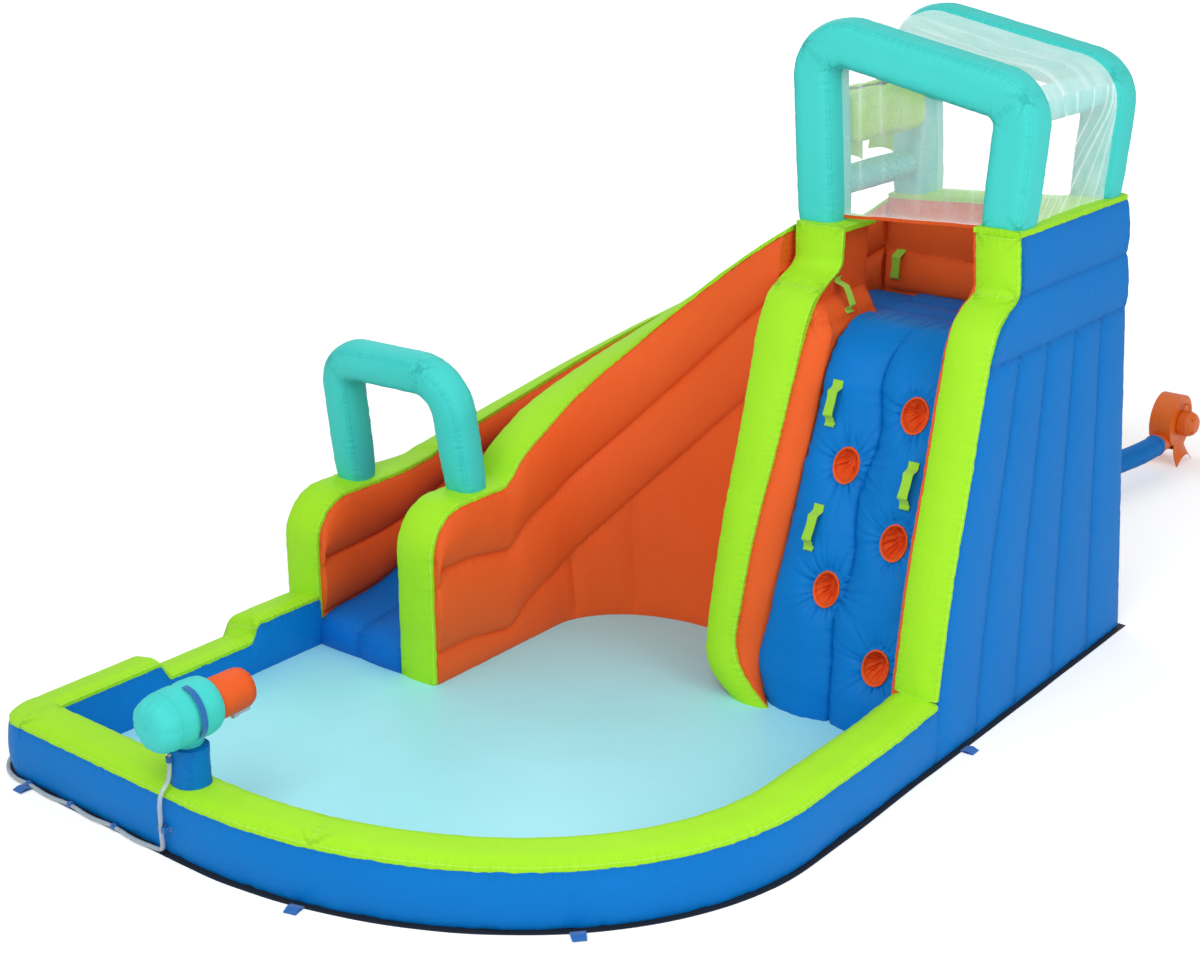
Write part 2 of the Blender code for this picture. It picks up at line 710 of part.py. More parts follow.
def slide_wall(name, outer, inner, top, tilt, swell_side, tubes_end):
    """One side wall of the slide with two long air tubes, and the lime panel over its top and down its end."""
    level = top(1)
    round_start = straight_t(SLIDE_EXIT_DEPTH - EXIT_ROUND)
    inside = EXIT_ROUND - TOP_PANEL - SEAM
    ends = [straight_t(SLIDE_EXIT_DEPTH - EXIT_ROUND + inside * sin(a)) for a in (0, 0.5, 0.95, 1.3, pi / 2)]
    drops = [0, 0.12, 0.5, 0.88, 1, 1.12, 1.5, 1.88, 2, 3]

    def body(u, v, w):
        reach = (u - round_start) / (1 - round_start) * EXIT_ROUND
        fall = EXIT_ROUND - TOP_PANEL - sqrt(max(0.0, inside**2 - max(reach, 0.0) ** 2)) if reach > 0 else 0
        high = top(u) - TOP_PANEL - SEAM - tilt(u) * (1 - v) - max(0.0, fall - SEAM)
        step = drops[round(w)]
        lobes = min(step, 2) / 2 * (high - tubes_end(u))
        z = WALL_Z if step == 3 else high - lobes
        out = SLIDE_BULGE * sqrt(abs(sin(pi * step))) if v == swell_side and step < 2 else 0
        a, b = outer(u, z), inner(u, z)
        share = v + (out if v == 1 else -out) / hypot(b[0] - a[0], b[1] - a[1])
        i, d = mix(a[0], b[0], share), mix(a[1], b[1], share)
        return spot(i + (GAP * 2 if u == 0 else 0), d, z)

    block(f"{name}_wall", ORANGE, SLIDE_STATIONS + ends, [0, 1], range(len(drops)), body)

    def cover(u, v, w):
        """u up to 1 runs along the top, from 1 to 2 round the end and from 2 to 3 down to the floor."""
        inward = TOP_PANEL * w
        if u <= 1:
            t, z = u, top(u) - inward - tilt(u) * (1 - v)
        elif u <= 2:
            angle = (u - 1) * pi / 2
            t = straight_t(SLIDE_EXIT_DEPTH - EXIT_ROUND + (EXIT_ROUND - inward) * sin(angle))
            z = level - EXIT_ROUND + (EXIT_ROUND - inward) * cos(angle)
        else:
            t, z = straight_t(SLIDE_EXIT_DEPTH - inward), mix(level - EXIT_ROUND, WALL_Z, u - 2)
        a, b = outer(t, z), inner(t, z)
        i, d = mix(a[0], b[0], v), mix(a[1], b[1], v)
        return spot(i + (GAP * 2 if t == 0 else 0), d, z)

    runs = SLIDE_STATIONS + [round_start] + [1 + a / (pi / 2) for a in (0.5, 0.95, 1.3, pi / 2)] + [2.5, 3]
    block(f"{name}_trim", LIME, runs, [0, 1], [0, 1], cover)


def slide():
    def near_tubes_end(t):
        return near_top(t) - 2 * NEAR_TUBE

    def far_tubes_end(t):
        return bed_top(t) + BED_EDGE

    slide_wall("slide_near", near_outer, near_inner, near_top, lambda t: 0.0, 0, near_tubes_end)
    slide_wall("slide_far", far_outer, far_inner, far_top, far_tilt, 1, far_tubes_end)

    def bed(u, v, w):
        """The bed starts inside the doorway, level with the platform, and ends at the pool."""
        t = max(u, 0.0)
        high = bed_top(t)
        a, b = near_inner(t, high), far_inner(t, high)
        if u < 0:
            inset = mix(LEFT_OUTER_TOP, LEFT_INNER + GAP, u / -TURN_START)
            a, b = (inset, DOOR_DEPTH), (inset, BACK_TOTAL)
        if w == 0:
            high -= min(BED_THICK, high - WALL_Z)
        else:
            high += BED_CROWN * abs(sin(BED_TUBES * pi * v))
        edge = GAP / hypot(b[0] - a[0], b[1] - a[1])
        share = mix(edge, 1 - edge, v)
        return spot(mix(a[0], b[0], share), mix(a[1], b[1], share), high)

    stations = [-TURN_START, -TURN_START / 2, *SLIDE_STATIONS, 0.90, 0.96, 1.0]
    block("slide_bed", DEEP_BLUE, stations, evenly(0, 1, 4 * BED_TUBES), [0, 1], bed)


def slide_arch():
    near = PARK_WIDTH - 1.5 * SLIDE_WALL - BED_WIDTH
    far = PARK_WIDTH - 0.5 * SLIDE_WALL
    lean = lambda z: SLIDE_ARCH_DEPTH + SLIDE_ARCH_LEAN * (z - NEAR_POST) / (SLIDE_ARCH_TOP - NEAR_POST)
    corners = [spot(i, lean(z), z) for i, z in (
        (far, FAR_POST), (far - 0.06, SLIDE_ARCH_TOP), (near - 0.01, SLIDE_ARCH_TOP + 0.015), (near, NEAR_POST)
    )]
    across = Vector((0, SLIDE_ARCH_TOP - NEAR_POST, SLIDE_ARCH_LEAN))
    tube("slide_arch", TEAL, rounded_path(corners, 0.17, 6), across, SLIDE_ARCH_TUBE / 2, SLIDE_ARCH_TUBE / 2,
         cuts=4, feet=(lambda p: FAR_POST + GAP, lambda p: NEAR_POST + GAP))


# Tower


FRONT_SHAPE = [(0, 1), (0.085, 0.993), (0.164, 0.957), (0.471, 0.783), (0.757, 0.565), (0.929, 0.442),
               (1.043, 0.348), (1.114, 0.261), (1.157, 0.145), (1.182, 0.036), (1.207, 0), (3, 0)]
LEVELS = [share * PLATFORM_TOP for share in (0, 0.085, 0.164, 0.32, 0.471, 0.614, 0.757, 0.90)]
LEVELS += [BAND_SEAM] + [share * PLATFORM_TOP for share in (1.08, 1.125, 1.157, 1.182, 1.207, 1.257)]
LEFT_SHARES = [0, 0.12, 0.35, 0.6, 0.8, 0.9, 0.96, 1]


def front_depth(z):
    """Depth of the front edge of the climbing side at a height."""
    return mix(RIM_DEPTH, BASE_DEPTH, along(FRONT_SHAPE, z / PLATFORM_TOP))


def climb_face(z):
    """Depth of the climbing wall, which lies behind the lime strips and rounds over onto the platform."""
    back = CLIMB_SET_BACK * (2 + min(1.0, z / 0.6)) / 3
    crest = max(0.0, 1 - (CLIMB_TOP - z) / CREST_HEIGHT)
    return front_depth(z) - back - CREST_DEPTH * (1 - sqrt(max(0.0, 1 - crest**2)))


def rim_height(inset):
    return mix(RIM_RIGHT, RIM_LEFT, inset / LEFT_OUTER_TOP) - RIM_FALL


def right_outer(z):
    return LEAN * z


def right_inner(z):
    return right_outer(z) + SIDE_WALL + SIDE_LINER


def left_outer(z):
    return mix(LEFT_OUTER_BASE, LEFT_OUTER_TOP, min(1.0, z / PLATFORM_TOP))


def strip_inner(z):
    upright = 0.045 * max(0.0, min(1.0, z / 1.5 - 0.4))
    return LEFT_INNER - NOSE_TURN * max(0.0, 1 - z / NOSE_HEIGHT) ** 2 - upright


def strip_outer(z):
    return left_outer(z) - 0.02 - (NOSE_TURN - 0.04) * max(0.0, 1 - z / NOSE_HEIGHT) ** 3


def levels_up_to(top):
    return [max(z, WALL_Z) for z in LEVELS if z < top - 0.02] + [top]


def tubes(share, count):
    """Height of a row of round air tubes, 0 in each seam and 1 on each crest."""
    return sqrt(abs(sin(pi * count * share)))


def tower_right():
    top = RIM_RIGHT - RIM_PANEL - GAP

    def wall(u, v, w):
        inset = right_outer(v) + w * SIDE_WALL
        if w == 0 and v > WALL_Z:
            share = (v - BAND_SEAM) / (top - BAND_SEAM)
            inset -= TOWER_BULGE * (tubes(u, SIDE_TUBES) if v < BAND_SEAM else tubes(share, 2))
        return spot(inset, u * (front_depth(v) - STRIP - GAP), v)

    def liner(u, v, w):
        inset = right_outer(v) + SIDE_WALL + GAP + w * (SIDE_LINER - GAP)
        return spot(inset, mix(BACK_TOTAL + GAP, front_depth(v) - STRIP - GAP, u), v)

    def strip(u, v, w):
        crown = 0.008 * sin(pi * u) * (1 - w)
        return spot(mix(right_outer(v), right_inner(v), u), front_depth(v) - w * STRIP + crown, v)

    def rim(u, v, w):
        z = RIM_RIGHT - RIM_PANEL * (1 - w)
        return spot(mix(right_outer(z), right_inner(z), v), u * RIM_DEPTH, z)

    block("tower_right_wall", BLUE, evenly(0, 1, SIDE_TUBES * 3), levels_up_to(top), [0, 1], wall)
    block("tower_right_liner", ORANGE, evenly(0, 1, 4), levels_up_to(top), [0, 1], liner)
    low = POOL_HEIGHT + GAP * 2
    heights = [low] + [z for z in levels_up_to(top) if z > low + 0.03]
    block("climb_strip_right", LIME, evenly(0, 1, 4), heights, [0, 1], strip)
    block("rim_right", LIME, evenly(0, 1, 4), [0, 1], [0, 1], rim)


def left_swell(share, z):
    """The left wall's inside is a fat tube up to the rim's seam; it thins out at the door and at the floor."""
    ends = min(1.0, share / 0.12, (1 - share) / 0.10)
    heights = min(1.0, z / 0.25, max(0.0, (BAND_SEAM + 0.10 - z) / 0.10))
    return LEFT_BULGE * sqrt(max(0.0, ends)) * sqrt(heights)


def left_face(share, z):
    """The left wall's inside, from the doorway (share 0) to the nose that turns in at its front (share 1)."""
    return mix(LEFT_INNER, strip_inner(z), share**6) - left_swell(share, z)


def tower_left():
    top = RIM_LEFT - RIM_PANEL - GAP

    def wall(u, v, w):
        outer = mix(left_outer(v), strip_outer(v), u**6)
        return spot(mix(left_face(u, v), outer, w), mix(DOOR_DEPTH, front_depth(v) - STRIP - GAP, u), v)

    block("tower_left_wall", ORANGE, LEFT_SHARES, levels_up_to(top), [0, 1], wall)

    def strip(u, v, w):
        """Up the front of the wall, then back over the post's top for v from top to top + 1."""
        over = max(0.0, v - RIM_LEFT)
        z = min(v, RIM_LEFT)
        crown = 0.008 * sin(pi * u) * (1 - w) * (1 if over == 0 else 0)
        depth = mix(front_depth(z) - w * STRIP + crown, DOOR_DEPTH, over)
        if v >= RIM_LEFT:
            z -= w * RIM_PANEL
        return spot(mix(strip_inner(z), mix(strip_outer(z), left_outer(z), over), u), depth, z)

    block("climb_strip_left", LIME, evenly(0, 1, 4), levels_up_to(RIM_LEFT) + [RIM_LEFT + 0.5, RIM_LEFT + 1],
          [0, 1], strip)


def tower_back():
    def right_edge(z):
        return right_outer(z) + SIDE_WALL + GAP

    def behind(u, v, w):
        z = mix(WALL_Z, rim_height(mix(right_edge(RIM_RIGHT), LEFT_OUTER_TOP, u)) - RIM_PANEL - SEAM, v)
        depth = BACK_WALL if w == 1 else -TOWER_BULGE * tubes(u, BACK_TUBES)
        return spot(mix(right_edge(z), LEFT_OUTER_TOP, u), depth, z)

    def liner(u, v, w):
        high = rim_height(mix(right_edge(RIM_RIGHT), LEFT_OUTER_TOP, u)) - RIM_PANEL - SEAM
        z = mix(PLATFORM_TOP - PLATFORM_THICK, high, v)
        return spot(mix(right_edge(z), LEFT_OUTER_TOP, u), mix(BACK_WALL + GAP, BACK_TOTAL, w), z)

    def rim(u, v, w):
        inset = mix(right_inner(RIM_RIGHT) + GAP, LEFT_OUTER_TOP, u)
        return spot(inset, mix(0, BACK_TOTAL, v), rim_height(inset) - RIM_PANEL * (1 - w))

    block("tower_back_wall", BLUE, evenly(0, 1, 3 * BACK_TUBES), evenly(0, 1, 3), [0, 1], behind)
    block("tower_back_liner", ORANGE, evenly(0, 1, 4), evenly(0, 1, 3), [0, 1], liner)
    block("rim_back", LIME, evenly(0, 1, 4), [0, 1], [0, 1], rim)


def platform():
    door, wall = LEFT_INNER - GAP, LEFT_INNER - LEFT_BULGE - GAP
    back, front = BACK_TOTAL + GAP, RIM_DEPTH - PLATFORM_SET_BACK
    depths = [mix(back, DOOR_DEPTH - 0.03, k / 9) for k in range(10)] + [DOOR_DEPTH, front]

    def place(u, v, w):
        z = PLATFORM_TOP - PLATFORM_THICK * (1 - w)
        if w == 1 and v < front:
            z += BED_CROWN * 0.6 * abs(sin(3 * pi * (v - back) / (DOOR_DEPTH - 0.03 - back)))
        left = door if v < DOOR_DEPTH - 0.01 else wall
        return spot(mix(right_inner(z) + GAP, left, u), v, z)

    block("platform", BLUE, [0, 1], depths, [0, 1], place)


def climb_left(z):
    """Left edge of the climbing wall, clear of the fat left tube and of its turned-in nose."""
    near = [max(0, z - 0.12), z, z + 0.12]
    return min(left_face(share, height) for share in LEFT_SHARES for height in near) - 0.001


def climb_swell(share, z):
    """Two air tubes side by side; the groove between them wanders from hole to hole."""
    groove = 0.5 + GROOVE_WANDER * sin(2 * pi * (z - FOOTHOLD_FIRST) / (2 * foothold_pitch()))
    side = share / groove / 2 if share < groove else 0.5 + (share - groove) / (1 - groove) / 2
    return CLIMB_BULGE * (tubes(side, 2) * min(1.0, (CLIMB_TOP - z) / 0.2) - 0.5)


def foothold_pitch():
    return (CLIMB_TOP - FOOTHOLD_FIRST - FOOTHOLD_TOP_MARGIN) / (FOOTHOLDS - 1)


def climb_wall():
    levels = [WALL_Z, *(z for z in evenly(0, CLIMB_TOP, 12)[1:-1]), CLIMB_TOP - 0.05, CLIMB_TOP]
    rear = RIM_DEPTH - PLATFORM_SET_BACK + GAP

    def place(u, v, w):
        inset = mix(right_inner(v) + GAP, climb_left(v), u)
        if w == 1:
            return spot(inset, max(climb_face(min(v, CLIMB_TOP - 0.05)) - CLIMB_THICK, rear), v)
        return spot(inset, climb_face(v) + climb_swell(u, v), v)

    wall = block("climb_wall", BLUE, evenly(0, 1, 8), levels, [0, 1], place)
    for k in range(FOOTHOLDS):
        z = FOOTHOLD_FIRST + k * foothold_pitch()
        inset = (FOOTHOLD_LEFT if k % 2 else FOOTHOLD_RIGHT) + LEAN * z
        mouth = climb_face(z) + CLIMB_BULGE / 2
        back = mouth - HOLE_DEPTH
        long = HOLE_DEPTH + 0.1
        middle = spot(inset, back + long / 2, z)
        hole = cutter(f"hole_cutter_{k + 1}", HOLE_RADIUS, long, middle, (0, -1, 0), 20)
        boolean(wall, hole)
        outer, inner = HOLE_RADIUS - GAP, HOLE_RADIUS - GAP - LINER_WALL
        cup = [(0, GAP), (outer, GAP), (outer, HOLE_DEPTH), (inner, HOLE_DEPTH), (inner, LINER_WALL),
               (0, LINER_WALL)]
        turned(f"foothold_{k + 1}", ORANGE, cup, spot(inset, back, z), (0, -1, 0), 20)
    loops = (("hand_loop_1", LOOP_LEFT, 4), ("hand_loop_2", LOOP_LEFT, 2), ("hand_loop_3", LOOP_RIGHT, 3))
    for name, side, k in loops:
        z = FOOTHOLD_FIRST + k * foothold_pitch() - 0.02
        slope = Vector((0, climb_face(z - 0.1) - climb_face(z + 0.1), 0.2)).normalized()
        strap_loop(name, WEBBING, wall, spot(side + LEAN * z, climb_face(z), z), slope, (0, -1, 0.25))


def strap_loop(name, material, wall, middle, run, out, length=None, width=None, rise=None):
    """A webbing strap sewn flat to a wall at both ends and standing off it in the middle."""
    length, width, rise = length or LOOP_LENGTH, width or LOOP_WIDTH, rise or LOOP_RISE
    run, out = Vector(run).normalized(), Vector(out).normalized()
    across = run.cross(out).normalized()
    bm = bmesh.new()
    bm.from_mesh(wall.data)
    surface = BVHTree.FromBMesh(bm)
    bm.free()

    def height(u, v):
        start = middle + run * (u * length / 2) + across * (v * width / 2)
        return (surface.ray_cast(start + out * 0.5, -out)[0] - start).dot(out)

    def highest(u):
        steps = (-0.065, -0.03, 0, 0.03, 0.065)
        return max(height(u + step, v) for step in steps for v in (-1, -0.5, 0, 0.5, 1))

    pads = {u: highest(u) for u in (-1, -0.87, -0.74, 0.74, 0.87, 1)}

    def place(u, v, w):
        base = pads[u] if u in pads else mix(pads[-0.74], pads[0.74], (u + 0.74) / 1.48)
        lift = rise * max(0.0, min(1.0, (0.74 - abs(u)) / 0.26))
        away = out * (base + lift + GAP + w * LOOP_THICK)
        return middle + run * (u * length / 2) + across * (v * width / 2) + away

    stations = [-1, -0.87, -0.74, -0.61, -0.48, 0.48, 0.61, 0.74, 0.87, 1]
    return block(name, material, stations, [-1, 1], [0, 1], place)


def tower_loops():
    left, back = bpy.data.objects["tower_left_wall"], bpy.data.objects["tower_back_liner"]
    short = LOOP_LENGTH * 0.75
    height = CLIMB_TOP + short / 2 + 0.005
    middle = spot(LEFT_INNER, mix(DOOR_DEPTH, front_depth(height), 0.56), height)
    strap_loop("hand_loop_4", WEBBING, left, middle, (0, 0, 1), (1, 0, 0), length=short)
    strap_loop("hand_loop_5", WEBBING, back, spot(LEFT_INNER + 0.13, BACK_TOTAL, PLATFORM_TOP + 0.11),
               (0, 0, 1), (0, -1, 0))


# Arches, bars and nets


def arch_path(depth):
    """Centre line of a tower arch, from its left foot over the sloping top to its right foot."""
    right = (RIM_RIGHT_MIDDLE, RIM_RIGHT)
    tops = [(LEFT_LEG + ARCH_SPREAD, ARCH_TOP_LEFT), (right[0] - 0.03, ARCH_TOP_RIGHT)]
    corners = [(LEFT_LEG, RIM_LEFT), *tops, right]
    return rounded_path([spot(i, depth, z) for i, z in corners], ARCH_CORNER, 6)


def offset_path(path, across, distance):
    """The path moved sideways, outwards for a positive distance."""
    moved = []
    for k, point in enumerate(path):
        before = (point - path[max(k - 1, 0)]).normalized() if k else (path[1] - point).normalized()
        after = (path[k + 1] - point).normalized() if k + 1 < len(path) else before
        side = (before + after).cross(Vector(across)).normalized()
        moved.append(point + side * distance / sqrt((1 + before.dot(after)) / 2))
    return moved


def leg_inset(z):
    """Middle of the left legs of both tower arches at a height."""
    return LEFT_LEG + ARCH_SPREAD * (z - RIM_LEFT) / (ARCH_TOP_LEFT - RIM_LEFT)


def arches():
    feet = (
        ("front_arch", FRONT_ARCH_AT, lambda p: RIM_LEFT + GAP),
        ("rear_arch", REAR_ARCH_AT, lambda p: rim_height(RIGHT_X - p.x) + GAP),
    )
    for name, depth, left_foot in feet:
        tube(name, TEAL, arch_path(depth), (0, 1, 0), ARCH_TUBE / 2, ARCH_DEPTH / 2, power=5, cuts=3,
             feet=(left_foot, lambda p: RIM_RIGHT + GAP))
    front = FRONT_ARCH_AT - ARCH_DEPTH / 2 - GAP
    rear = REAR_ARCH_AT + ARCH_DEPTH / 2 + GAP
    # The roof bar stays inside the net, which lies nearer the middle over thinner arches.
    under_net = max(0.0, (ROOF_BAR - ARCH_TUBE * NET_SET_BACK) / 2 - 0.001)
    bars = (("entry_bar", leg_inset(ENTRY_BAR_HEIGHT), ENTRY_BAR_HEIGHT, ENTRY_BAR),
            ("roof_bar", RIM_RIGHT_MIDDLE + under_net, ROOF_BAR_HEIGHT - under_net, ROOF_BAR))
    for name, inset, height, width in bars:
        ends = [spot(inset, mix(rear, front, k / 2), height) for k in range(3)]
        tube(name, TEAL, ends, (1, 0, 0), width / 2, width / 2, cuts=4)


def nets():
    """Safety nets: over the roof and down the right side, across the front above the hem, and at the back."""
    edge = 1 - (1 - 0.87) * (NET_SET_BACK - 1 / 3) / (0.87 - 1 / 3)
    front = FRONT_ARCH_AT - ARCH_DEPTH / 2 * edge - 3 * GAP
    rear = REAR_ARCH_AT + ARCH_DEPTH / 2 * edge + 3 * GAP
    line = offset_path(arch_path((front + rear) / 2), (0, 1, 0), ARCH_TUBE / 2 * NET_SET_BACK)[4:]
    tube("canopy_net", NET, line, (0, 1, 0), NET_THICK / 2, (front - rear) / 2, power=0, cuts=1,
         feet=(None, lambda p: RIM_RIGHT + GAP))

    thick = Vector((0, -NET_THICK, 0))
    inner = ARCH_TUBE / 2 + GAP
    right = right_inner(RIM_RIGHT) + 2 * GAP
    depth = FRONT_ARCH_AT
    line = offset_path(arch_path(depth), (0, 1, 0), -inner)[1:-1]
    bottom = HEM_LEVEL + HEM_HEIGHT + GAP
    start = line[0]

    def left(z):
        """Inner face of the left leg."""
        return RIGHT_X - start.x - ARCH_SPREAD * (start.z - z) / (ARCH_TOP_LEFT - RIM_LEFT) - GAP

    ring = line + [spot(right, depth, RIM_RIGHT + GAP), spot(right, depth, bottom)]
    ring.append(spot(left(bottom), depth, bottom))
    sheet("front_net", NET, [ring], thick)
    top = bottom - GAP
    hem = [spot(left(top), depth, top), spot(right, depth, top), spot(right, depth, HEM_LEVEL),
           spot(left(HEM_LEVEL), depth, HEM_LEVEL)]
    sheet("front_hem", ORANGE, [hem], thick)
    depth = REAR_ARCH_AT
    line = offset_path(arch_path(depth), (0, 1, 0), -inner)[1:-1]
    low = rim_height(LEFT_LEG) + NET_THICK
    ring = line + [spot(right, depth, RIM_RIGHT + GAP), spot(right, depth, rim_height(right) + NET_THICK),
                   spot(left(low), depth, rim_height(left(low)) + NET_THICK)]
    sheet("rear_net", NET, [ring], thick)


# Drench bucket


def bucket():
    pivot = spot(leg_inset(BUCKET_PIVOT), 0, BUCKET_PIVOT)
    centre = pivot - Vector((0, 0, BUCKET_PIVOT_RISE))
    front = FRONT_ARCH_AT - ARCH_DEPTH / 2
    rear = REAR_ARCH_AT + ARCH_DEPTH / 2
    middle = BACK_Y - (front + rear) / 2
    length = front - rear - 2 * BUCKET_END_GAP

    def loaf(shrink):
        def place(u, v, w):
            a, b = squared_disc(v, w, 3.2)
            round_off = 1 - 0.10 * (1 if abs(u) == 1 else 0)
            x = a * (BUCKET_WIDTH / 2 * round_off - shrink)
            z = b * (BUCKET_HEIGHT / 2 * round_off - shrink)
            return Vector((centre.x + x, middle + u * (length / 2 - shrink), centre.z + z))

        return place

    ends = [-1, -0.88, 0, 0.88, 1]
    body = block("drench_bucket", WEBBING, ends, evenly(-1, 1, 4), evenly(-1, 1, 4), loaf(0))
    inside = block("bucket_inside", WEBBING, ends, evenly(-1, 1, 4), evenly(-1, 1, 4), loaf(BUCKET_WALL))
    to_cutters(inside)
    boolean(body, inside)
    slot = Vector((BUCKET_SLOT, length - 0.10, BUCKET_HEIGHT))
    boolean(body, box_cutter("bucket_slot", Vector((centre.x, middle, centre.z + slot.z / 2)), slot))
    for name, side in (("bucket_tab_1", 0.18), ("bucket_tab_2", -0.26)):
        low = centre.z - BUCKET_HEIGHT / 2 + BUCKET_WALL * 0.7
        place = Vector((centre.x, middle + side * length, low - BUCKET_TAB / 2))
        boolean(body, box_cutter(name, place, Vector((0.12, 0.008, BUCKET_TAB))), "UNION")
    hinge = Vector((pivot.x, middle, pivot.z))
    boolean(body, cutter("bucket_bore", PIN_RADIUS + PIN_CLEARANCE, 2 * length, hinge, (0, 1, 0), 16))
    set_pivot(body, hinge)
    for name, face, way in (("bucket_pin_front", front, 1), ("bucket_pin_rear", rear, -1)):
        reach = BUCKET_END_GAP + BUCKET_WALL + 0.012
        flange = [(0, GAP), (0.026, GAP), (0.026, 0.005)]
        shank = [(PIN_RADIUS, 0.007), (PIN_RADIUS, reach), (0, reach)]
        seat = spot(leg_inset(BUCKET_PIVOT), face, BUCKET_PIVOT)
        turned(name, GREY_PLASTIC, flange + shank, seat, (0, way, 0), 16)


# Water cannon and hose


def cannon():
    depth = POOL_DEPTH - POOL_WALL / 2
    low = CANNON_HEIGHT - CANNON_RADIUS - NECK_RISE
    axis = spot(CANNON_INSET, depth, CANNON_HEIGHT)
    ends = [spot(CANNON_INSET, depth, z) for z in (POOL_HEIGHT + GAP, low - 2 * GAP)]
    tube("cannon_post", BLUE, ends, (1, 0, 0), POST_DEEP / 2, POST_WIDE / 2, cuts=4)

    rear = axis - Vector((0, CANNON_REAR, 0))
    r, long = CANNON_RADIUS, CANNON_LENGTH
    shape = [(0, 0), (0.55 * r, 0.004), (0.84 * r, 0.022), (0.97 * r, 0.055), (r, 0.09), (r, long - 0.05),
             (0.95 * r, long - 0.015), (0.82 * r, long), (0, long)]
    body = turned("cannon_body", TEAL, shape, rear, (0, 1, 0), 32)
    neck = Vector((axis.x, axis.y, (low + CANNON_HEIGHT - CANNON_RADIUS * 0.5) / 2))
    long = CANNON_HEIGHT - CANNON_RADIUS * 0.5 - low
    boolean(body, cutter("cannon_neck", POST_DEEP / 2 - 0.004, long, neck, (0, 0, 1), 20), "UNION")
    r, long = BARREL_RADIUS, BARREL_LENGTH
    shape = [(0, GAP), (r, GAP), (r, long - 0.035), (0.93 * r, long - 0.012), (0.75 * r, long - 0.002)]
    shape.append((0, long))
    mouth = rear + Vector((0, CANNON_LENGTH, 0))
    barrel = turned("cannon_barrel", ORANGE, shape, mouth, (0, 1, 0), 32)

    def strap(u, v, w):
        ring = u * pi / 16
        lift = STRAP_RISE * min(1.0, (STRAP_STEPS - abs(u)) / 2)
        reach = CANNON_RADIUS + GAP + lift + LOOP_THICK * w
        turn = ring - STRAP_TILT * pi / 16
        place = Vector((cos(turn) * reach, v * STRAP_WIDTH / 2, sin(turn) * reach))
        return rear + Vector((0, CANNON_LENGTH * 0.55, 0)) + place

    handle = block("cannon_strap", STRAP, range(-STRAP_STEPS, STRAP_STEPS + 1), [-1, 1], [0, 1], strap)
    r = NOZZLE_RADIUS
    shape = [(0, 0), (r * 1.5, 0), (r * 1.5, 0.022), (r, 0.026), (r, 0.075), (r * 0.6, 0.08), (0, 0.08)]
    under = mouth + Vector((0, BARREL_LENGTH - 0.07, -BARREL_RADIUS - r * 1.5 - GAP))
    nozzle = turned("cannon_nozzle", VINYL, shape, under, (0, 1, 0), 16)
    for piece in (body, barrel, handle, nozzle):
        set_pivot(piece, axis)


def hose_start():
    """Inset at which the hose comes down to the ground from the cannon."""
    return CANNON_INSET + 0.055


def water_hose():
    """Clear hose from the cannon's post over the pool wall, along its foot and up the left side to a connector.

    Along the foot it is held at every HOSE_HOLDS and sags out between the holds.
    """
    r = HOSE_RADIUS
    ground = SHEET_THICK + r + GAP
    foot = POOL_BULGE + r + 0.001
    post = POOL_DEPTH - POOL_WALL / 2 + POST_DEEP / 2 + r + 0.002
    face = POOL_DEPTH + foot
    i = CANNON_INSET + 0.02
    over = ((0.05, 0.030), (0.4, 0.010), (0.8, 0.0), (1, -0.02))
    points = [spot(i, post, CANNON_HEIGHT - CANNON_RADIUS - 0.03), spot(i, post, POOL_HEIGHT + 0.06)]
    points += [spot(i, mix(post, face, share), POOL_HEIGHT + rise) for share, rise in over]
    points += [spot(i, face, z) for z in (POOL_HEIGHT * 0.6, POOL_HEIGHT * 0.3, 0.04)]
    points += [spot(i + 0.010, face, ground + 0.01), spot(hose_start(), face, ground)]

    def sag(run):
        return HOSE_SAG * sin(pi * run / HOSE_HOLDS) ** 2

    corner = PARK_WIDTH - POOL_CORNER
    for inset in evenly(hose_start(), corner, 16)[1:]:
        points.append(spot(inset, face + sag(inset - hose_start()), ground))
    last = points[-1].y
    out = BACK_Y - POOL_DEPTH + POOL_CORNER - last
    for k in range(1, 7):
        turn = k / 6 * pi / 2
        reach = mix(out, POOL_CORNER + foot, k / 6)
        points.append(spot(corner + reach * sin(turn), POOL_DEPTH - POOL_CORNER + reach * cos(turn), ground))
    side = PARK_WIDTH + foot
    turned_at = POOL_DEPTH - POOL_CORNER
    end = SLIDE_EXIT_DEPTH - HOSE_END
    for depth in evenly(turned_at, end, 16)[1:]:
        straight = min(1.0, (depth - end) / 0.15)
        points.append(spot(side + straight * sag(turned_at - depth), depth, ground))
    hose("water_hose", VINYL, points, r)
    r = HOSE_RADIUS * 1.4
    shape = [(0, GAP), (HOSE_RADIUS, GAP), (r, 0.004), (r, 0.03), (r * 0.8, 0.033), (r * 0.8, 0.05),
             (0, 0.05)]
    turned("hose_connector", ORANGE_PLASTIC, shape, spot(side, end, SHEET_THICK + r + GAP), (0, 1, 0), 16)
    wall = bpy.data.objects["pool_wall_front"]
    strap_loop("hose_loop", STRAP, wall, spot(i, POOL_DEPTH, POOL_HEIGHT * 0.45), (1, 0, 0), (0, -1, 0),
               length=0.075, width=0.022, rise=2 * r + 0.003)


# Blower


def scroll(extra, x):
    """Outline of the fan's scroll round its axis; it widens towards the outlet at the bottom."""
    ring = []
    for k in range(33):
        turn = k / 32 * 2 * pi - pi / 2
        reach = mix(VOLUTE_RADIUS * 0.82, VOLUTE_RADIUS, k / 32) + extra
        ring.append(Vector((x, BACK_Y - FAN_DEPTH - cos(turn) * reach, FAN_HEIGHT + sin(turn) * reach)))
    return ring


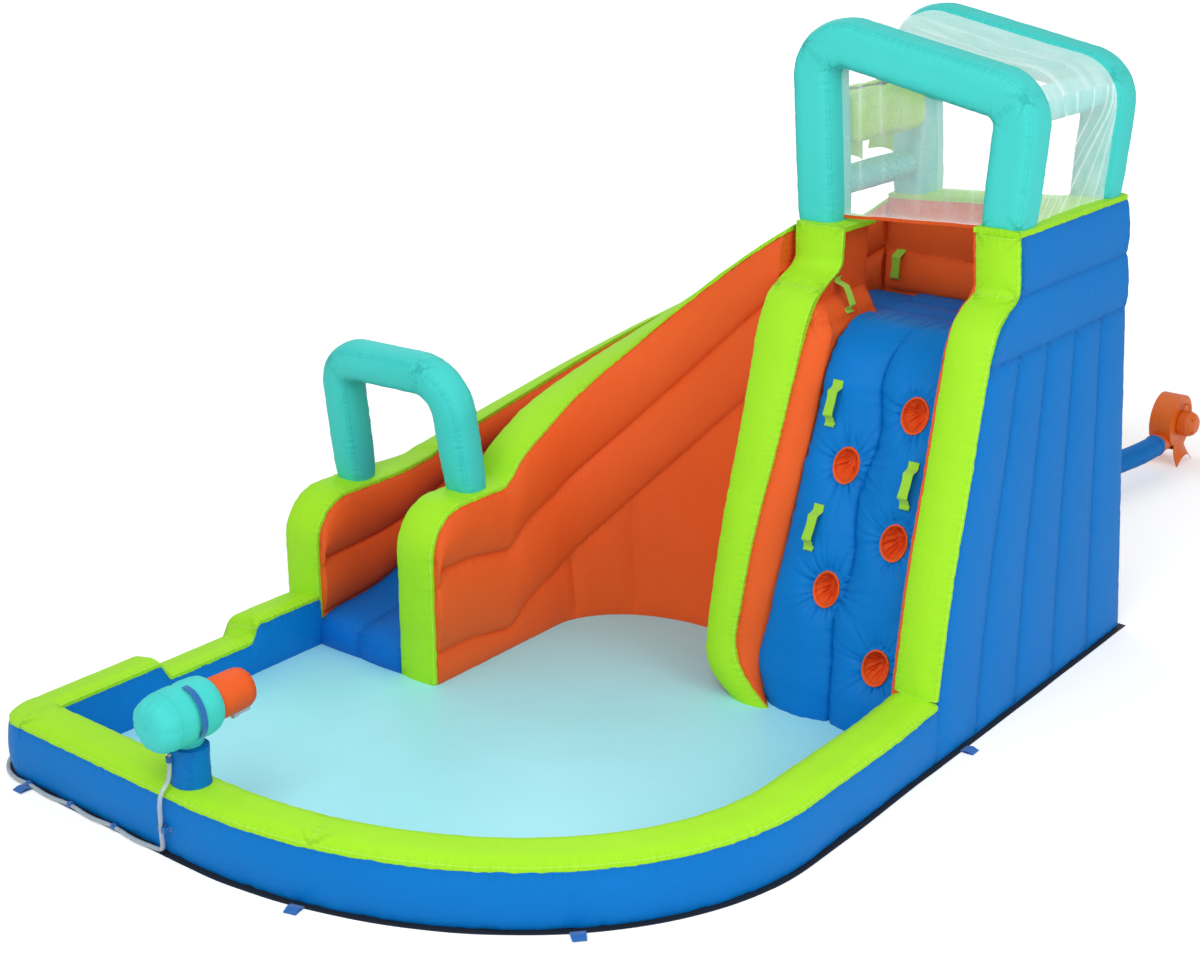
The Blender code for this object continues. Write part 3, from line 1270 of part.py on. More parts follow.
def housing(name, side, hole):
    """Half of the moulded fan housing: scroll, half of the round outlet and a flared foot."""
    axis = spot(FAN_INSET, FAN_DEPTH, FAN_HEIGHT)
    half = VOLUTE_WIDTH / 2
    body = sheet(name, ORANGE_PLASTIC, [scroll(0, axis.x)], (side * half, 0, 0))
    outlet = Vector((axis.x, axis.y - SPOUT_LENGTH / 2, SPOUT_HEIGHT))
    boolean(body, cutter(f"{name}_spout", SPOUT_RADIUS, SPOUT_LENGTH, outlet, (0, 1, 0), 24), "UNION")
    inside = sheet(f"{name}_inside", ORANGE_PLASTIC, [scroll(-VOLUTE_WALL, axis.x - side * 0.02)],
                   (side * (half - VOLUTE_WALL + 0.02), 0, 0))
    boolean(body, to_cutters(inside))
    bore = SPOUT_RADIUS - VOLUTE_WALL
    middle = outlet - Vector((0, 0.05, 0))
    boolean(body, cutter(f"{name}_bore", bore, SPOUT_LENGTH + 0.1, middle, (0, 1, 0), 24))
    keep = box_cutter(f"{name}_half", axis + Vector((side * (0.2 + GAP / 2), 0, 0)), Vector((0.4, 0.8, 0.8)))
    boolean(body, keep, "INTERSECT")

    def foot(u, v, w):
        """v runs down the skirt, which flares and is arched between its two toes."""
        low = GAP + FOOT_ARCH * (1 - u**2)
        x = half - 0.004 + FOOT_FLARE * v**2 + 0.005 * w
        y = u * (FOOT_TOP + FOOT_FLARE * v)
        return Vector((axis.x + side * x, axis.y + y, mix(FAN_HEIGHT - 0.10, low, v)))

    skirt = block(f"{name}_foot", ORANGE_PLASTIC, evenly(-1, 1, 6), evenly(0, 1, 4), [0, 1], foot)
    boolean(body, to_cutters(skirt), "UNION")
    boolean(body, cutter(f"{name}_hole", hole, 0.05, axis + Vector((side * half, 0, 0)), (1, 0, 0), 24))
    return body


def impeller():
    """Backplate and hub turned in one piece, a ring of swept blades, and a ring that ties their tips."""
    axis = spot(FAN_INSET, FAN_DEPTH, FAN_HEIGHT)
    half = VOLUTE_WIDTH / 2 - VOLUTE_WALL - IMPELLER_RUN
    r, plate = IMPELLER_RADIUS, 0.003
    end = VOLUTE_WIDTH / 2 + SHAFT_LENGTH
    hub = [(0, -half * 0.5), (0.012, -half * 0.42), (0.018, 0), (0.022, half - plate - 0.004)]
    disc = [(0.03, half - plate), (r, half - plate), (r, half)]
    shape = hub + disc + [(SHAFT_RADIUS, half), (SHAFT_RADIUS, end), (0, end)]
    wheel = turned("impeller", GREY_PLASTIC, shape, axis, (1, 0, 0), 32)
    bm = bmesh.new()
    for k in range(BLADES):
        first = len(bm.verts)
        bmesh.ops.create_cube(bm, size=1.0)
        bm.verts.ensure_lookup_table()
        new = bm.verts[first:]
        runs = {e for v in new for e in v.link_edges if abs(e.verts[0].co.y - e.verts[1].co.y) > 0.5}
        bmesh.ops.subdivide_edges(bm, edges=list(runs), cuts=3)
        bm.verts.ensure_lookup_table()
        for vert in bm.verts[first:]:
            share = vert.co.y + 0.5
            reach = mix(BLADE_ROOT, r - 0.001, share)
            turn = 2 * pi * k / BLADES + BLADE_SWEEP * share**2 + vert.co.z * BLADE_THICK / reach
            x = mix(-half + 0.001 + 0.010 * (1 - share), half - plate + 0.0005, vert.co.x + 0.5)
            vert.co = axis + Vector((x, cos(turn) * reach, sin(turn) * reach))
    bm.normal_update()
    bmesh.ops.recalc_face_normals(bm, faces=bm.faces)
    boolean(wheel, hide_cutter("impeller_blades", bm), "UNION")
    ring = [(r - 0.014, 0), (r, 0), (r, 0.003), (r - 0.014, 0.003), (r - 0.014, 0)]
    tie = turned("impeller_ring", GREY_PLASTIC, ring, axis + Vector((-half - 0.001, 0, 0)), (1, 0, 0), 32)
    boolean(wheel, to_cutters(tie), "UNION")
    set_pivot(wheel, axis)


def blower():
    axis = spot(FAN_INSET, FAN_DEPTH, FAN_HEIGHT)
    half = VOLUTE_WIDTH / 2
    housing("housing_left", -1, INTAKE_RADIUS)
    housing("housing_right", 1, SHAFT_RADIUS + 0.003)
    impeller()

    rim = INTAKE_RADIUS + 0.008
    dome = [(0, GAP), (rim, GAP), (rim, 0.003), (INTAKE_RADIUS, 0.006), (0, 0.010)]
    grille = turned("intake_grille", ORANGE_PLASTIC, dome, axis - Vector((half, 0, 0)), (-1, 0, 0), 32)
    bm = bmesh.new()
    for row, (inner, outer) in enumerate(((0.014, 0.030), (0.035, 0.055))):
        for k in range(GRILLE_SLOTS):
            turn = Matrix.Rotation(2 * pi * (k + 0.5 * row) / GRILLE_SLOTS, 4, "X")
            size = Matrix.Diagonal((0.04, outer - inner, inner * pi / GRILLE_SLOTS * 1.1, 1))
            shift = Matrix.Translation((0, (inner + outer) / 2, 0))
            place = Matrix.Translation(axis - Vector((half, 0, 0)))
            bmesh.ops.create_cube(bm, size=1.0, matrix=place @ turn @ shift @ size)
    boolean(grille, hide_cutter("grille_slots", bm))

    r, long, bore = MOTOR_RADIUS, MOTOR_LENGTH, SHAFT_RADIUS + GAP
    shape = [(0, SHAFT_LENGTH + 0.002), (bore, SHAFT_LENGTH + 0.002), (bore, GAP), (0.9 * r, GAP), (r, 0.008),
             (r, long * 0.55), (0.86 * r, long * 0.8), (0.6 * r, long * 0.97), (0, long)]
    motor = turned("motor", ORANGE_PLASTIC, shape, axis + Vector((half, 0, 0)), (1, 0, 0), 24)
    for k, side in enumerate((1, -1)):
        place = axis + Vector((half + long * 0.84, -0.04, side * 0.035))
        boolean(motor, cutter(f"screw_recess_{k + 1}", 0.006, 0.03, place, (1, 0, 0), 12))

    top = FAN_HEIGHT + MOTOR_RADIUS
    feet = axis.x + half + 0.012, axis.x + half + long * 0.5
    corners = [Vector((feet[0], axis.y, top)), Vector((feet[0], axis.y, top + HANDLE_RISE)),
               Vector((feet[1], axis.y, top + HANDLE_RISE)), Vector((feet[1], axis.y, top))]
    tube("blower_handle", ORANGE_PLASTIC, rounded_path(corners, 0.014, 3), (0, 1, 0), 0.006, 0.009, cuts=2,
         feet=(lambda p: top + GAP, lambda p: top + GAP))

    start = axis.y - SPOUT_LENGTH + SLEEVE_OVERLAP
    crest = TOWER_BULGE * tubes(1 / (3 * BACK_TUBES), BACK_TUBES)
    end = Vector((RIGHT_X - SLEEVE_INSET, BACK_Y + crest + GAP, SPOUT_HEIGHT))
    line = [Vector((axis.x, start, SPOUT_HEIGHT)), Vector((axis.x, start - 0.12, SPOUT_HEIGHT)),
            Vector((mix(axis.x, end.x, 0.03), start - 0.22, SPOUT_HEIGHT)), end + Vector((0.02, 0.24, 0)),
            end + Vector((0, 0.14, 0)), end]
    sleeve = tube("inflation_sleeve", BLUE, line, (0, 0, 1), SLEEVE_RADIUS, SLEEVE_RADIUS, cuts=4)
    socket = Vector((axis.x, start, SPOUT_HEIGHT))
    long = 2 * SLEEVE_OVERLAP + 0.004
    boolean(sleeve, cutter("sleeve_socket", SPOUT_RADIUS + 2 * GAP, long, socket, (0, 1, 0), 32))
    r = SLEEVE_RADIUS + 0.001
    ring = [(r, 0), (r + 0.003, 0), (r + 0.003, 0.02), (r, 0.02), (r, 0)]
    turned("sleeve_strap", STRAP, ring, Vector((axis.x, start - 0.035, SPOUT_HEIGHT)), (0, 1, 0), 32)


ground_sheet()
pool_floor()
pool_front()
pool_left()
slide()
slide_arch()
tower_right()
tower_left()
tower_back()
platform()
climb_wall()
tower_loops()
arches()
nets()
bucket()
cannon()
water_hose()
blower()
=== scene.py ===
"""Looks for the inflatable water park: sewn, air-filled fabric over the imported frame.

Metres, +Z up. As in the part's own sizes, a place is an inset from the tower's right face (towards -X), a depth
from its back face (towards -Y) and a height.
"""

import json
from math import acos, atan2, ceil, cos, exp, hypot, pi, radians, sin, sqrt

import bmesh
import bpy
from mathutils import Matrix, Vector, noise
from mathutils.bvhtree import BVHTree


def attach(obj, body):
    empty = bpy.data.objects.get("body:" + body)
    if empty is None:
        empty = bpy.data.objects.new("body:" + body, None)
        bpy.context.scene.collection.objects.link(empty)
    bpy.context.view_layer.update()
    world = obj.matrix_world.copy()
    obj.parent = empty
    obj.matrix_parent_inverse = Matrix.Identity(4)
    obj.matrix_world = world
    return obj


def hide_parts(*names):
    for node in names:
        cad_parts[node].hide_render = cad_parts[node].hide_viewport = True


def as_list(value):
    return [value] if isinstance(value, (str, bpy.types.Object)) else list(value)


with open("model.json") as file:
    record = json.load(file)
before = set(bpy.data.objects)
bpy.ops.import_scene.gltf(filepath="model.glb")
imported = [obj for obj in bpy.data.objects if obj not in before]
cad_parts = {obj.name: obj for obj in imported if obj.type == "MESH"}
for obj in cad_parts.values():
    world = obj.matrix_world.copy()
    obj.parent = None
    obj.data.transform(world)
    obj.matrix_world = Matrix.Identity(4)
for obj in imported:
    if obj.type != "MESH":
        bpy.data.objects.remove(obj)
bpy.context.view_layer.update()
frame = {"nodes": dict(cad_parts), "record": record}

# Sizes, as in the part
GAP = 0.0003
RIGHT_X, BACK_Y, PARK_WIDTH = 1.40, 0.72, 2.80
SHEET_THICK, SHEET_MARGIN = 0.003, 0.030
FLOOR_Z = SHEET_THICK + GAP
POOL_WALL, POOL_HEIGHT, POOL_DEPTH = 0.19, 0.25, 3.86
POOL_TURN_INSET, POOL_TURN_DEPTH, POOL_CORNER = 1.70, 2.51, 0.20
POOL_BULGE, TOP_PANEL, TOP_CROWN, TOP_FLAT = 0.012, 0.015, 0.020, 0.16
LEFT_TILT, STEP_DROP, STEP_START, STEP_END, STEP_RAMP = 0.04, 0.075, 2.70, 3.17, 0.06
SLIDE_WALL, BED_WIDTH = 0.19, 0.48
SLIDE_TURN_INSET, SLIDE_TURN_DEPTH, SLIDE_EXIT_DEPTH = 1.40, 1.56, 2.335
DOOR_DEPTH, NEAR_BASE_DEPTH, NEAR_LEAN = 0.72, 1.16, 0.085
FAR_BACK_DEPTH, SLIDE_TOP, NEAR_POST, FAR_POST = 0.06, 1.80, 0.757, 0.655
BED_END, BED_START_DROP, BED_CROWN, BED_TUBES, BED_EDGE, BED_THICK = 0.14, 0.020, 0.018, 2, 0.006, 0.12
EXIT_ROUND, SLIDE_BULGE, FAR_TILT = 0.20, 0.022, 0.07
RIM_LEFT, RIM_RIGHT, RIM_PANEL, RIM_FALL, RIM_DEPTH, BASE_DEPTH = 1.83, 1.91, 0.02, 0.010, 0.97, 1.66
BACK_WALL, BACK_LINER, SIDE_WALL, SIDE_LINER, LEAN = 0.10, 0.10, 0.15, 0.045, 0.075
LEFT_INNER, LEFT_BULGE, LEFT_OUTER_TOP, LEFT_OUTER_BASE = 0.945, 0.10, 1.155, 1.085
STRIP, PLATFORM_TOP, PLATFORM_THICK, BAND_SEAM = 0.015, 1.40, 0.20, 1.44
TOWER_BULGE, SIDE_TUBES, BACK_TUBES, NOSE_TURN, NOSE_HEIGHT = 0.014, 5, 4, 0.20, 0.28
PLATFORM_SET_BACK, CLIMB_THICK, CLIMB_SET_BACK = 0.14, 0.20, 0.09
CREST_HEIGHT, CREST_DEPTH, GROOVE_WANDER, CLIMB_BULGE, CLIMB_TOP = 0.22, 0.17, 0.03, 0.030, 1.48
HOLE_RADIUS, HOLE_DEPTH, FOOTHOLDS, FOOTHOLD_FIRST = 0.068, 0.12, 5, 0.278
FOOTHOLD_TOP_MARGIN, FOOTHOLD_RIGHT, FOOTHOLD_LEFT = 0.272, 0.305, 0.568
LOOP_LEFT, LOOP_RIGHT, LOOP_WIDTH, LOOP_LENGTH, LOOP_RISE = 0.657, 0.269, 0.045, 0.19, 0.035
ARCH_DEPTH, ARCH_TUBE, ARCH_CORNER, LEFT_LEG, ARCH_SPREAD = 0.19, 0.185, 0.13, 1.062, 0.060
ARCH_TOP_LEFT, ARCH_TOP_RIGHT, FRONT_ARCH_AT, REAR_ARCH_AT = 2.575, 2.392, 0.865, 0.100
ENTRY_BAR, ENTRY_BAR_HEIGHT, ROOF_BAR, ROOF_BAR_HEIGHT = 0.12, 1.965, 0.14, 2.348
SLIDE_ARCH_TUBE, SLIDE_ARCH_DEPTH, SLIDE_ARCH_TOP, SLIDE_ARCH_LEAN = 0.185, 2.01, 1.245, 0.10
HEM_LEVEL, BUCKET_WIDTH, BUCKET_HEIGHT, BUCKET_SLOT = 1.850, 0.24, 0.22, 0.09
BUCKET_TAB, BUCKET_PIVOT, BUCKET_PIVOT_RISE, BUCKET_END_GAP = 0.075, 2.26, 0.035, 0.012
CANNON_INSET, CANNON_HEIGHT, CANNON_RADIUS, CANNON_LENGTH = 1.74, 0.515, 0.108, 0.25
BARREL_RADIUS, BARREL_LENGTH, CANNON_REAR, POST_WIDE, POST_DEEP = 0.077, 0.17, 0.15, 0.150, 0.120
NECK_RISE, STRAP_WIDTH, STRAP_RISE, STRAP_STEPS, STRAP_TILT = 0.010, 0.022, 0.008, 5, -2
HOSE_RADIUS, HOSE_SAG, HOSE_HOLDS, HOSE_END = 0.008, 0.010, 0.25, 0.35
FAN_INSET, FAN_DEPTH, SPOUT_LENGTH, SPOUT_HEIGHT = 0.745, -2.30, 0.215, 0.125
SLEEVE_RADIUS, SLEEVE_OVERLAP, SLEEVE_INSET = 0.058, 0.050, 1.03

# Sizes that only the looks have
MOUTH_SHAPE = 0.84  # a foothold's mouth, its width by its height
RIGHT_STRIP_SEAM, LEFT_STRIP_SEAM, BACK_LINER_SEAM = 1.66, 1.60, 1.57  # heights of the cross seams
POOL_STATIONS, TOP_JOINT = 23, 15.57  # the pool wall's last station, and where its top panel is joined
SHORT_FOLD, LONG_FOLD, FOLD_REACH = 0.022, 0.075, 0.25  # how fast the folds at a seam die out, and where they end
FAR_FROM_SEAMS = 0.3  # the distance given to a place that no seam is near
WALL_PUFF, WALL_PUCKER, WALL_FOLDS = 0.002, 0.003, 0.036  # the tall flat walls
STRIP_CROWN, RIM_CROWN, TRIM_CROWN = 0.014, 0.006, 0.012  # how far the lime panels stand up in their middle
BILLOW, MOUTH_FOLD, MOUTH_FAN = 0.015, 0.016, 0.009  # relief of the climbing wall
TUBE_STEP, HOSE_STEP = 0.012, 0.008  # spacing of the rings along tubes and along the hose
STRAP_THICK, STRAP_SEWN = 0.0028, 0.74  # the second: the share of its half length where its sewn end begins
TAB_INNER, TAB_OUTER, TAB_HALF = -0.030, 0.0235, 0.027  # a stake tab's ends from its middle, and half its width
FLOOR_TUCK = 0.02  # how far the pool's floor runs under the walls
PARK_MIDDLE = Vector((0, -1.2))  # in plan


def mix(a, b, t):
    return a + (b - a) * t


def spot(inset, depth, height):
    """A place, from its inset, depth and height."""
    return Vector((RIGHT_X - inset, BACK_Y - depth, height))


def clamp(value):
    return max(0.0, min(1.0, value))


def evenly(start, end, count):
    return [mix(start, end, k / count) for k in range(count + 1)]


def eased(start, end, count):
    """Stations that crowd towards both ends, where a panel's seams and their puckers lie."""
    return [mix(start, end, (1 - cos(pi * k / count)) / 2) for k in range(count + 1)]


def along(points, x):
    """Smooth curve through (x, y) points that never overshoots them."""
    if x <= points[0][0]:
        return points[0][1]
    if x >= points[-1][0]:
        return points[-1][1]
    i = max(k for k in range(len(points) - 1) if points[k][0] <= x)
    rises = [(q[1] - p[1]) / (q[0] - p[0]) for p, q in zip(points[:-1], points[1:])]

    def slope(k):
        if k in (0, len(points) - 1):
            return rises[min(k, len(rises) - 1)]
        a, b = rises[k - 1], rises[k]
        return 0.0 if a * b <= 0 else 2 * a * b / (a + b)

    (x0, y0), (x1, y1) = points[i], points[i + 1]
    width = x1 - x0
    t = (x - x0) / width
    return (
        y0 * (2 * t**3 - 3 * t**2 + 1)
        + y1 * (3 * t**2 - 2 * t**3)
        + width * slope(i) * (t**3 - 2 * t**2 + t)
        + width * slope(i + 1) * (t**3 - t**2)
    )


# Camera, lamps and floor


def studio():
    """The photograph's angle, a pale floor and soft light from above."""
    camera = bpy.data.objects.new("camera", bpy.data.cameras.new("camera"))
    camera.location = (4.384, -6.705, 3.4435)
    pitch, heading = radians(19.74), Vector((-0.623, 0.782)).normalized()
    look = Vector((heading.x * cos(pitch), heading.y * cos(pitch), -sin(pitch)))
    camera.rotation_mode = "QUATERNION"
    camera.rotation_quaternion = look.to_track_quat("-Z", "Y")
    camera.data.sensor_width = 36.0
    camera.data.lens = 56.76
    camera.data.clip_end = 200.0
    bpy.context.collection.objects.link(camera)
    bpy.context.scene.camera = camera
    bpy.context.scene.view_settings.view_transform = "Standard"

    for name, size, power, place, aim in (
        ("key_light", 5.0, 268, (1.8, -6.5, 6.2), (0.0, -1.2, 0.6)),
        ("fill_light", 5.0, 140, (7.0, -1.5, 3.6), (0.3, -0.8, 0.8)),
        ("back_light", 4.0, 90, (-4.5, 3.5, 5.0), (0.0, -0.8, 0.8)),
    ):
        lamp = bpy.data.objects.new(name, bpy.data.lights.new(name, "AREA"))
        lamp.data.shape = "DISK"
        lamp.data.size = size
        lamp.data.energy = power
        lamp.location = place
        lamp.rotation_mode = "QUATERNION"
        lamp.rotation_quaternion = (Vector(aim) - Vector(place)).to_track_quat("-Z", "Y")
        bpy.context.collection.objects.link(lamp)

    world = bpy.data.worlds.new("studio")
    bpy.context.scene.world = world
    world.use_nodes = True
    tree = world.node_tree
    tree.nodes.clear()
    seen = node(tree, "LightPath", output="Is Camera Ray")
    plain = node(tree, "Background", {"Color": (1, 1, 1, 1), "Strength": 0.58})
    white = node(tree, "Background", {"Color": (1, 1, 1, 1), "Strength": 1.0})
    node(tree, "OutputWorld", {"Surface": node(tree, "MixShader", {0: seen, 1: plain, 2: white})})

    bm = bmesh.new()
    bmesh.ops.create_grid(bm, x_segments=1, y_segments=1, size=90)
    mesh = bpy.data.meshes.new("studio_floor")
    bm.to_mesh(mesh)
    bm.free()
    floor = bpy.data.objects.new("studio_floor", mesh)
    floor.location.z = -0.0005
    bpy.context.collection.objects.link(floor)
    paper = bpy.data.materials.new("matt_white_paper")
    paper.use_nodes = True
    tree = paper.node_tree
    tree.nodes.clear()
    seen = node(tree, "LightPath", output="Is Camera Ray")
    matt = node(tree, "BsdfDiffuse", {"Color": (0.90, 0.90, 0.90, 1)})
    place = node(tree, "TexCoord", output="Object")
    reach = node(tree, "VectorMath", {0: place}, "Value", operation="LENGTH")
    bounds = {0: reach, 1: 3.0, 2: 9.0, 3: 0.30, 4: 0.75}
    far = node(tree, "MapRange", bounds, interpolation_type="SMOOTHSTEP")
    glow = node(tree, "Emission", {"Color": (1, 1, 1, 1), "Strength": far})
    lit = node(tree, "AddShader", {0: matt, 1: glow})
    node(tree, "OutputMaterial", {"Surface": node(tree, "MixShader", {0: seen, 1: matt, 2: lit})})
    mesh.materials.append(paper)


def node(tree, kind, inputs=None, output=0, **settings):
    """Adds a node with its settings, values and links, and gives one of its outputs."""
    made = tree.nodes.new("ShaderNode" + kind)
    for key, value in settings.items():
        setattr(made, key, value)
    for key, value in (inputs or {}).items():
        if isinstance(value, bpy.types.NodeSocket):
            tree.links.new(value, made.inputs[key])
        else:
            made.inputs[key].default_value = value
    return made.outputs[output] if len(made.outputs) else made


def linear(hexcode):
    """sRGB hex to the linear values that a shader takes."""
    values = [int(hexcode[i : i + 2], 16) / 255 for i in (0, 2, 4)]
    return tuple([v / 12.92 if v <= 0.04045 else ((v + 0.055) / 1.055) ** 2.4 for v in values] + [1.0])


# Finishes


def new_material(name, **values):
    """A material with its own Principled shader, and the values that are the same all over it."""
    material = bpy.data.materials.new(name)
    material.use_nodes = True
    shader = material.node_tree.nodes["Principled BSDF"]
    for key, value in values.items():
        shader.inputs[key.replace("_", " ").title().replace("Ior", "IOR")].default_value = value
    return material, material.node_tree, shader


def woven_seam_map(tree, warp, weft):
    """The UV map "seam", its metres along the nearest seam and away from it, and a plain weave laid on them."""
    seam = node(tree, "UVMap", uv_map="seam")
    run = node(tree, "SeparateXYZ", {0: seam}, "X")
    gap = node(tree, "SeparateXYZ", {0: seam}, "Y")
    waves = []
    for way, spacing in ((run, warp), (gap, weft)):
        turns = node(tree, "Math", {0: way, 1: 2 * pi / spacing}, operation="MULTIPLY")
        waves.append(node(tree, "Math", {0: turns}, operation="SINE"))
    return seam, run, gap, node(tree, "Math", {0: waves[0], 1: waves[1]}, operation="MULTIPLY")


def cloudy_colour(tree, place, scale, detail, hexcode, shade):
    """One colour that clouds over into another."""
    clouds = node(tree, "TexNoise", {"Vector": place, "Scale": scale, "Detail": detail})
    return node(tree, "Mix", {0: clouds, 6: linear(hexcode), 7: linear(shade)}, 2, data_type="RGBA")


def coated_polyester(name, hexcode, shade, thread, stitched_at=0.0075):
    """Woven polyester with a thin plastic coating, sewn: a matt, faintly grained cloth with small puckers, in
    which the colour darkens towards the shade colour as painted shade, and a line of stitches beside each seam.
    The weave is
    0.4 mm, and is drawn at 2.4 mm so that it shows. Stitches are 3 mm long and 0.5 mm wide, and are drawn 7 mm
    long and 2 mm wide.
    """
    material, tree, shader = new_material(name, roughness=0.5, specular_ior_level=0.12)
    place = node(tree, "TexCoord", output="Object")
    seam, run, gap, weave = woven_seam_map(tree, 0.0024, 0.0024)

    fading = node(tree, "Math", {0: gap, 1: -1 / 0.020}, operation="MULTIPLY")
    near = node(tree, "Math", {0: fading}, operation="EXPONENT")
    stretched = node(tree, "Mapping", {"Vector": seam, "Scale": (1 / 0.016, 1 / 0.09, 1)})
    pucker = node(tree, "TexNoise", {"Vector": stretched, "Scale": 1.0, "Detail": 1.0}, noise_dimensions="2D")
    puckers = node(tree, "Math", {0: pucker, 1: near}, operation="MULTIPLY")
    soft = node(tree, "TexNoise", {"Vector": place, "Scale": 14.0, "Detail": 3.0, "Roughness": 0.55})
    dents = node(tree, "Math", {0: soft, 1: 0.55}, operation="MULTIPLY")
    height = node(tree, "Math", {0: puckers, 1: 1.0, 2: dents}, operation="MULTIPLY_ADD")
    height = node(tree, "Math", {0: weave, 1: 0.012, 2: height}, operation="MULTIPLY_ADD")
    bump = node(tree, "Bump", {"Height": height, "Strength": 0.55, "Distance": 0.010})

    cloudy = node(tree, "TexNoise", {"Vector": place, "Scale": 3.0, "Detail": 2.0})
    some = node(tree, "Math", {0: cloudy, 1: 0.35}, operation="MULTIPLY")
    colour = node(tree, "Mix", {0: some, 6: linear(hexcode), 7: linear(shade)}, 2, data_type="RGBA")
    # Painted shade: the colour darkens towards the shade colour in the puckers beside each seam.
    painted_crease_shade = node(tree, "Math", {0: puckers, 1: 0.8}, operation="MULTIPLY")
    with_painted_crease_shade = node(tree, "Mix", {0: painted_crease_shade, 6: colour, 7: linear(shade)}, 2, data_type="RGBA")
    line = node(tree, "Math", {0: gap, 1: stitched_at, 2: 0.0011}, operation="COMPARE")
    dashes = node(tree, "Math", {0: run, 1: 1 / 0.011}, operation="MULTIPLY")
    dashes = node(tree, "Math", {0: dashes}, operation="FRACT")
    dashes = node(tree, "Math", {0: dashes, 1: 0.35}, operation="GREATER_THAN")
    stitches = node(tree, "Math", {0: line, 1: dashes}, operation="MULTIPLY")
    stitches = node(tree, "Math", {0: stitches, 1: 0.6}, operation="MULTIPLY")
    sewn = node(tree, "Mix", {0: stitches, 6: with_painted_crease_shade, 7: linear(thread)}, 2, data_type="RGBA")
    tree.links.new(sewn, shader.inputs["Base Color"])
    tree.links.new(bump, shader.inputs["Normal"])
    return material


def laminated_vinyl(name, hexcode, shade, roughness):
    """Calendered vinyl sheet: smooth and a little glossy, with soft dents where it lies on the ground."""
    material, tree, shader = new_material(name, roughness=roughness, ior=1.5)
    place = node(tree, "TexCoord", output="Object")
    dents = node(tree, "TexNoise", {"Vector": place, "Scale": 5.0, "Detail": 2.0})
    bump = node(tree, "Bump", {"Height": dents, "Strength": 0.25, "Distance": 0.02})
    tree.links.new(cloudy_colour(tree, place, 1.4, 3.0, hexcode, shade), shader.inputs["Base Color"])
    tree.links.new(bump, shader.inputs["Normal"])
    return material


def moulded_abs(name, hexcode, shade, roughness=0.38):
    """Injection-moulded ABS: even colour, and a spark-eroded grain of 0.1 mm drawn at 1 mm so that it shows."""
    material, tree, shader = new_material(name, roughness=roughness, ior=1.54)
    place = node(tree, "TexCoord", output="Object")
    grain = node(tree, "TexNoise", {"Vector": place, "Scale": 900.0, "Detail": 1.0})
    bump = node(tree, "Bump", {"Height": grain, "Strength": 0.15, "Distance": 0.001})
    tree.links.new(cloudy_colour(tree, place, 12.0, 2.0, hexcode, shade), shader.inputs["Base Color"])
    tree.links.new(bump, shader.inputs["Normal"])
    return material


def woven_webbing(name, hexcode, shade):
    """Woven polyester tape: a matt, slightly hairy face with ribs of 1.5 mm, drawn at 3 to 4 mm so that they
    show."""
    material, tree, shader = new_material(name, roughness=0.75, sheen_weight=0.3, sheen_roughness=0.5)
    weave = woven_seam_map(tree, 0.003, 0.004)[3]
    share = node(tree, "MapRange", {0: weave, 1: -1.0, 2: 1.0, 3: 0.0, 4: 0.6})
    colour = node(tree, "Mix", {0: share, 6: linear(hexcode), 7: linear(shade)}, 2, data_type="RGBA")
    bump = node(tree, "Bump", {"Height": weave, "Strength": 0.4, "Distance": 0.0008})
    tree.links.new(colour, shader.inputs["Base Color"])
    tree.links.new(bump, shader.inputs["Normal"])
    return material


def knitted_mesh(name):
    """Warp-knitted polyester net: fine white threads with open holes, denser where folds lie over each other; on
    the canopy's side these fold lines are drawn strong enough to be painted highlights as well. It has a painted
    glow for the light that comes through it. The holes are 1.5 mm, and are drawn at 4 mm so that they show."""
    material, tree, shader = new_material(name, roughness=0.7, sheen_weight=0.2)
    place = node(tree, "TexCoord", output="Object")
    fold = node(tree, "Attribute", output="Fac", attribute_name="fold")
    holes = node(tree, "TexVoronoi", {"Vector": place, "Scale": 260.0}, feature="DISTANCE_TO_EDGE")
    threads = node(tree, "MapRange", {0: holes, 1: 0.0, 2: 0.25, 3: 0.16, 4: -0.10})
    cover = node(tree, "Math", {0: fold, 1: threads}, operation="ADD")
    # Painted glow: an even emission stands in for the light that comes through the threads from behind.
    shader.inputs["Emission Color"].default_value = linear("F4FBFA")
    shader.inputs["Emission Strength"].default_value = 0.30
    tree.links.new(cloudy_colour(tree, place, 30.0, 2.0, "FFFFFF", "E6EFF0"), shader.inputs["Base Color"])
    tree.links.new(cover, shader.inputs["Alpha"])
    return material


def clear_vinyl(name):
    """Extruded clear tubing with water in it: glossy, faintly blue."""
    material, tree, shader = new_material(name, roughness=0.12, ior=1.45, transmission_weight=0.55)
    place = node(tree, "TexCoord", output="Object")
    tree.links.new(cloudy_colour(tree, place, 40.0, 2.0, "E6F0F4", "CFE0EA"), shader.inputs["Base Color"])
    return material


studio()
LIME = coated_polyester("lime_coated_polyester", "AAEC2E", "92D51C", "CDF288", 0.0027), "lime_fabric"
BLUE = coated_polyester("blue_coated_polyester", "007ACC", "0466B6", "0A5CA8"), "blue_fabric"
DEEP_BLUE = coated_polyester("deep_blue_coated_polyester", "0A6EC8", "0A5AB0", "0A4A94"), "deep_blue_fabric"
ORANGE = coated_polyester("orange_coated_polyester", "F0642A", "D8501E", "C8481A"), "orange_fabric"
TEAL = coated_polyester("teal_coated_polyester", "4CD6CF", "38C2BC", "2FA8A4"), "teal_fabric"
AQUA = laminated_vinyl("aqua_laminated_vinyl", "A8F2FC", "9EEAF6", 0.42), "aqua_floor"
BLACK = laminated_vinyl("black_laminated_vinyl", "16181C", "22252B", 0.55), "black_sheet"
GREEN_CLOTH = coated_polyester("green_coated_polyester", "B6E83E", "98D024", "8CC41E"), "bucket_fabric"
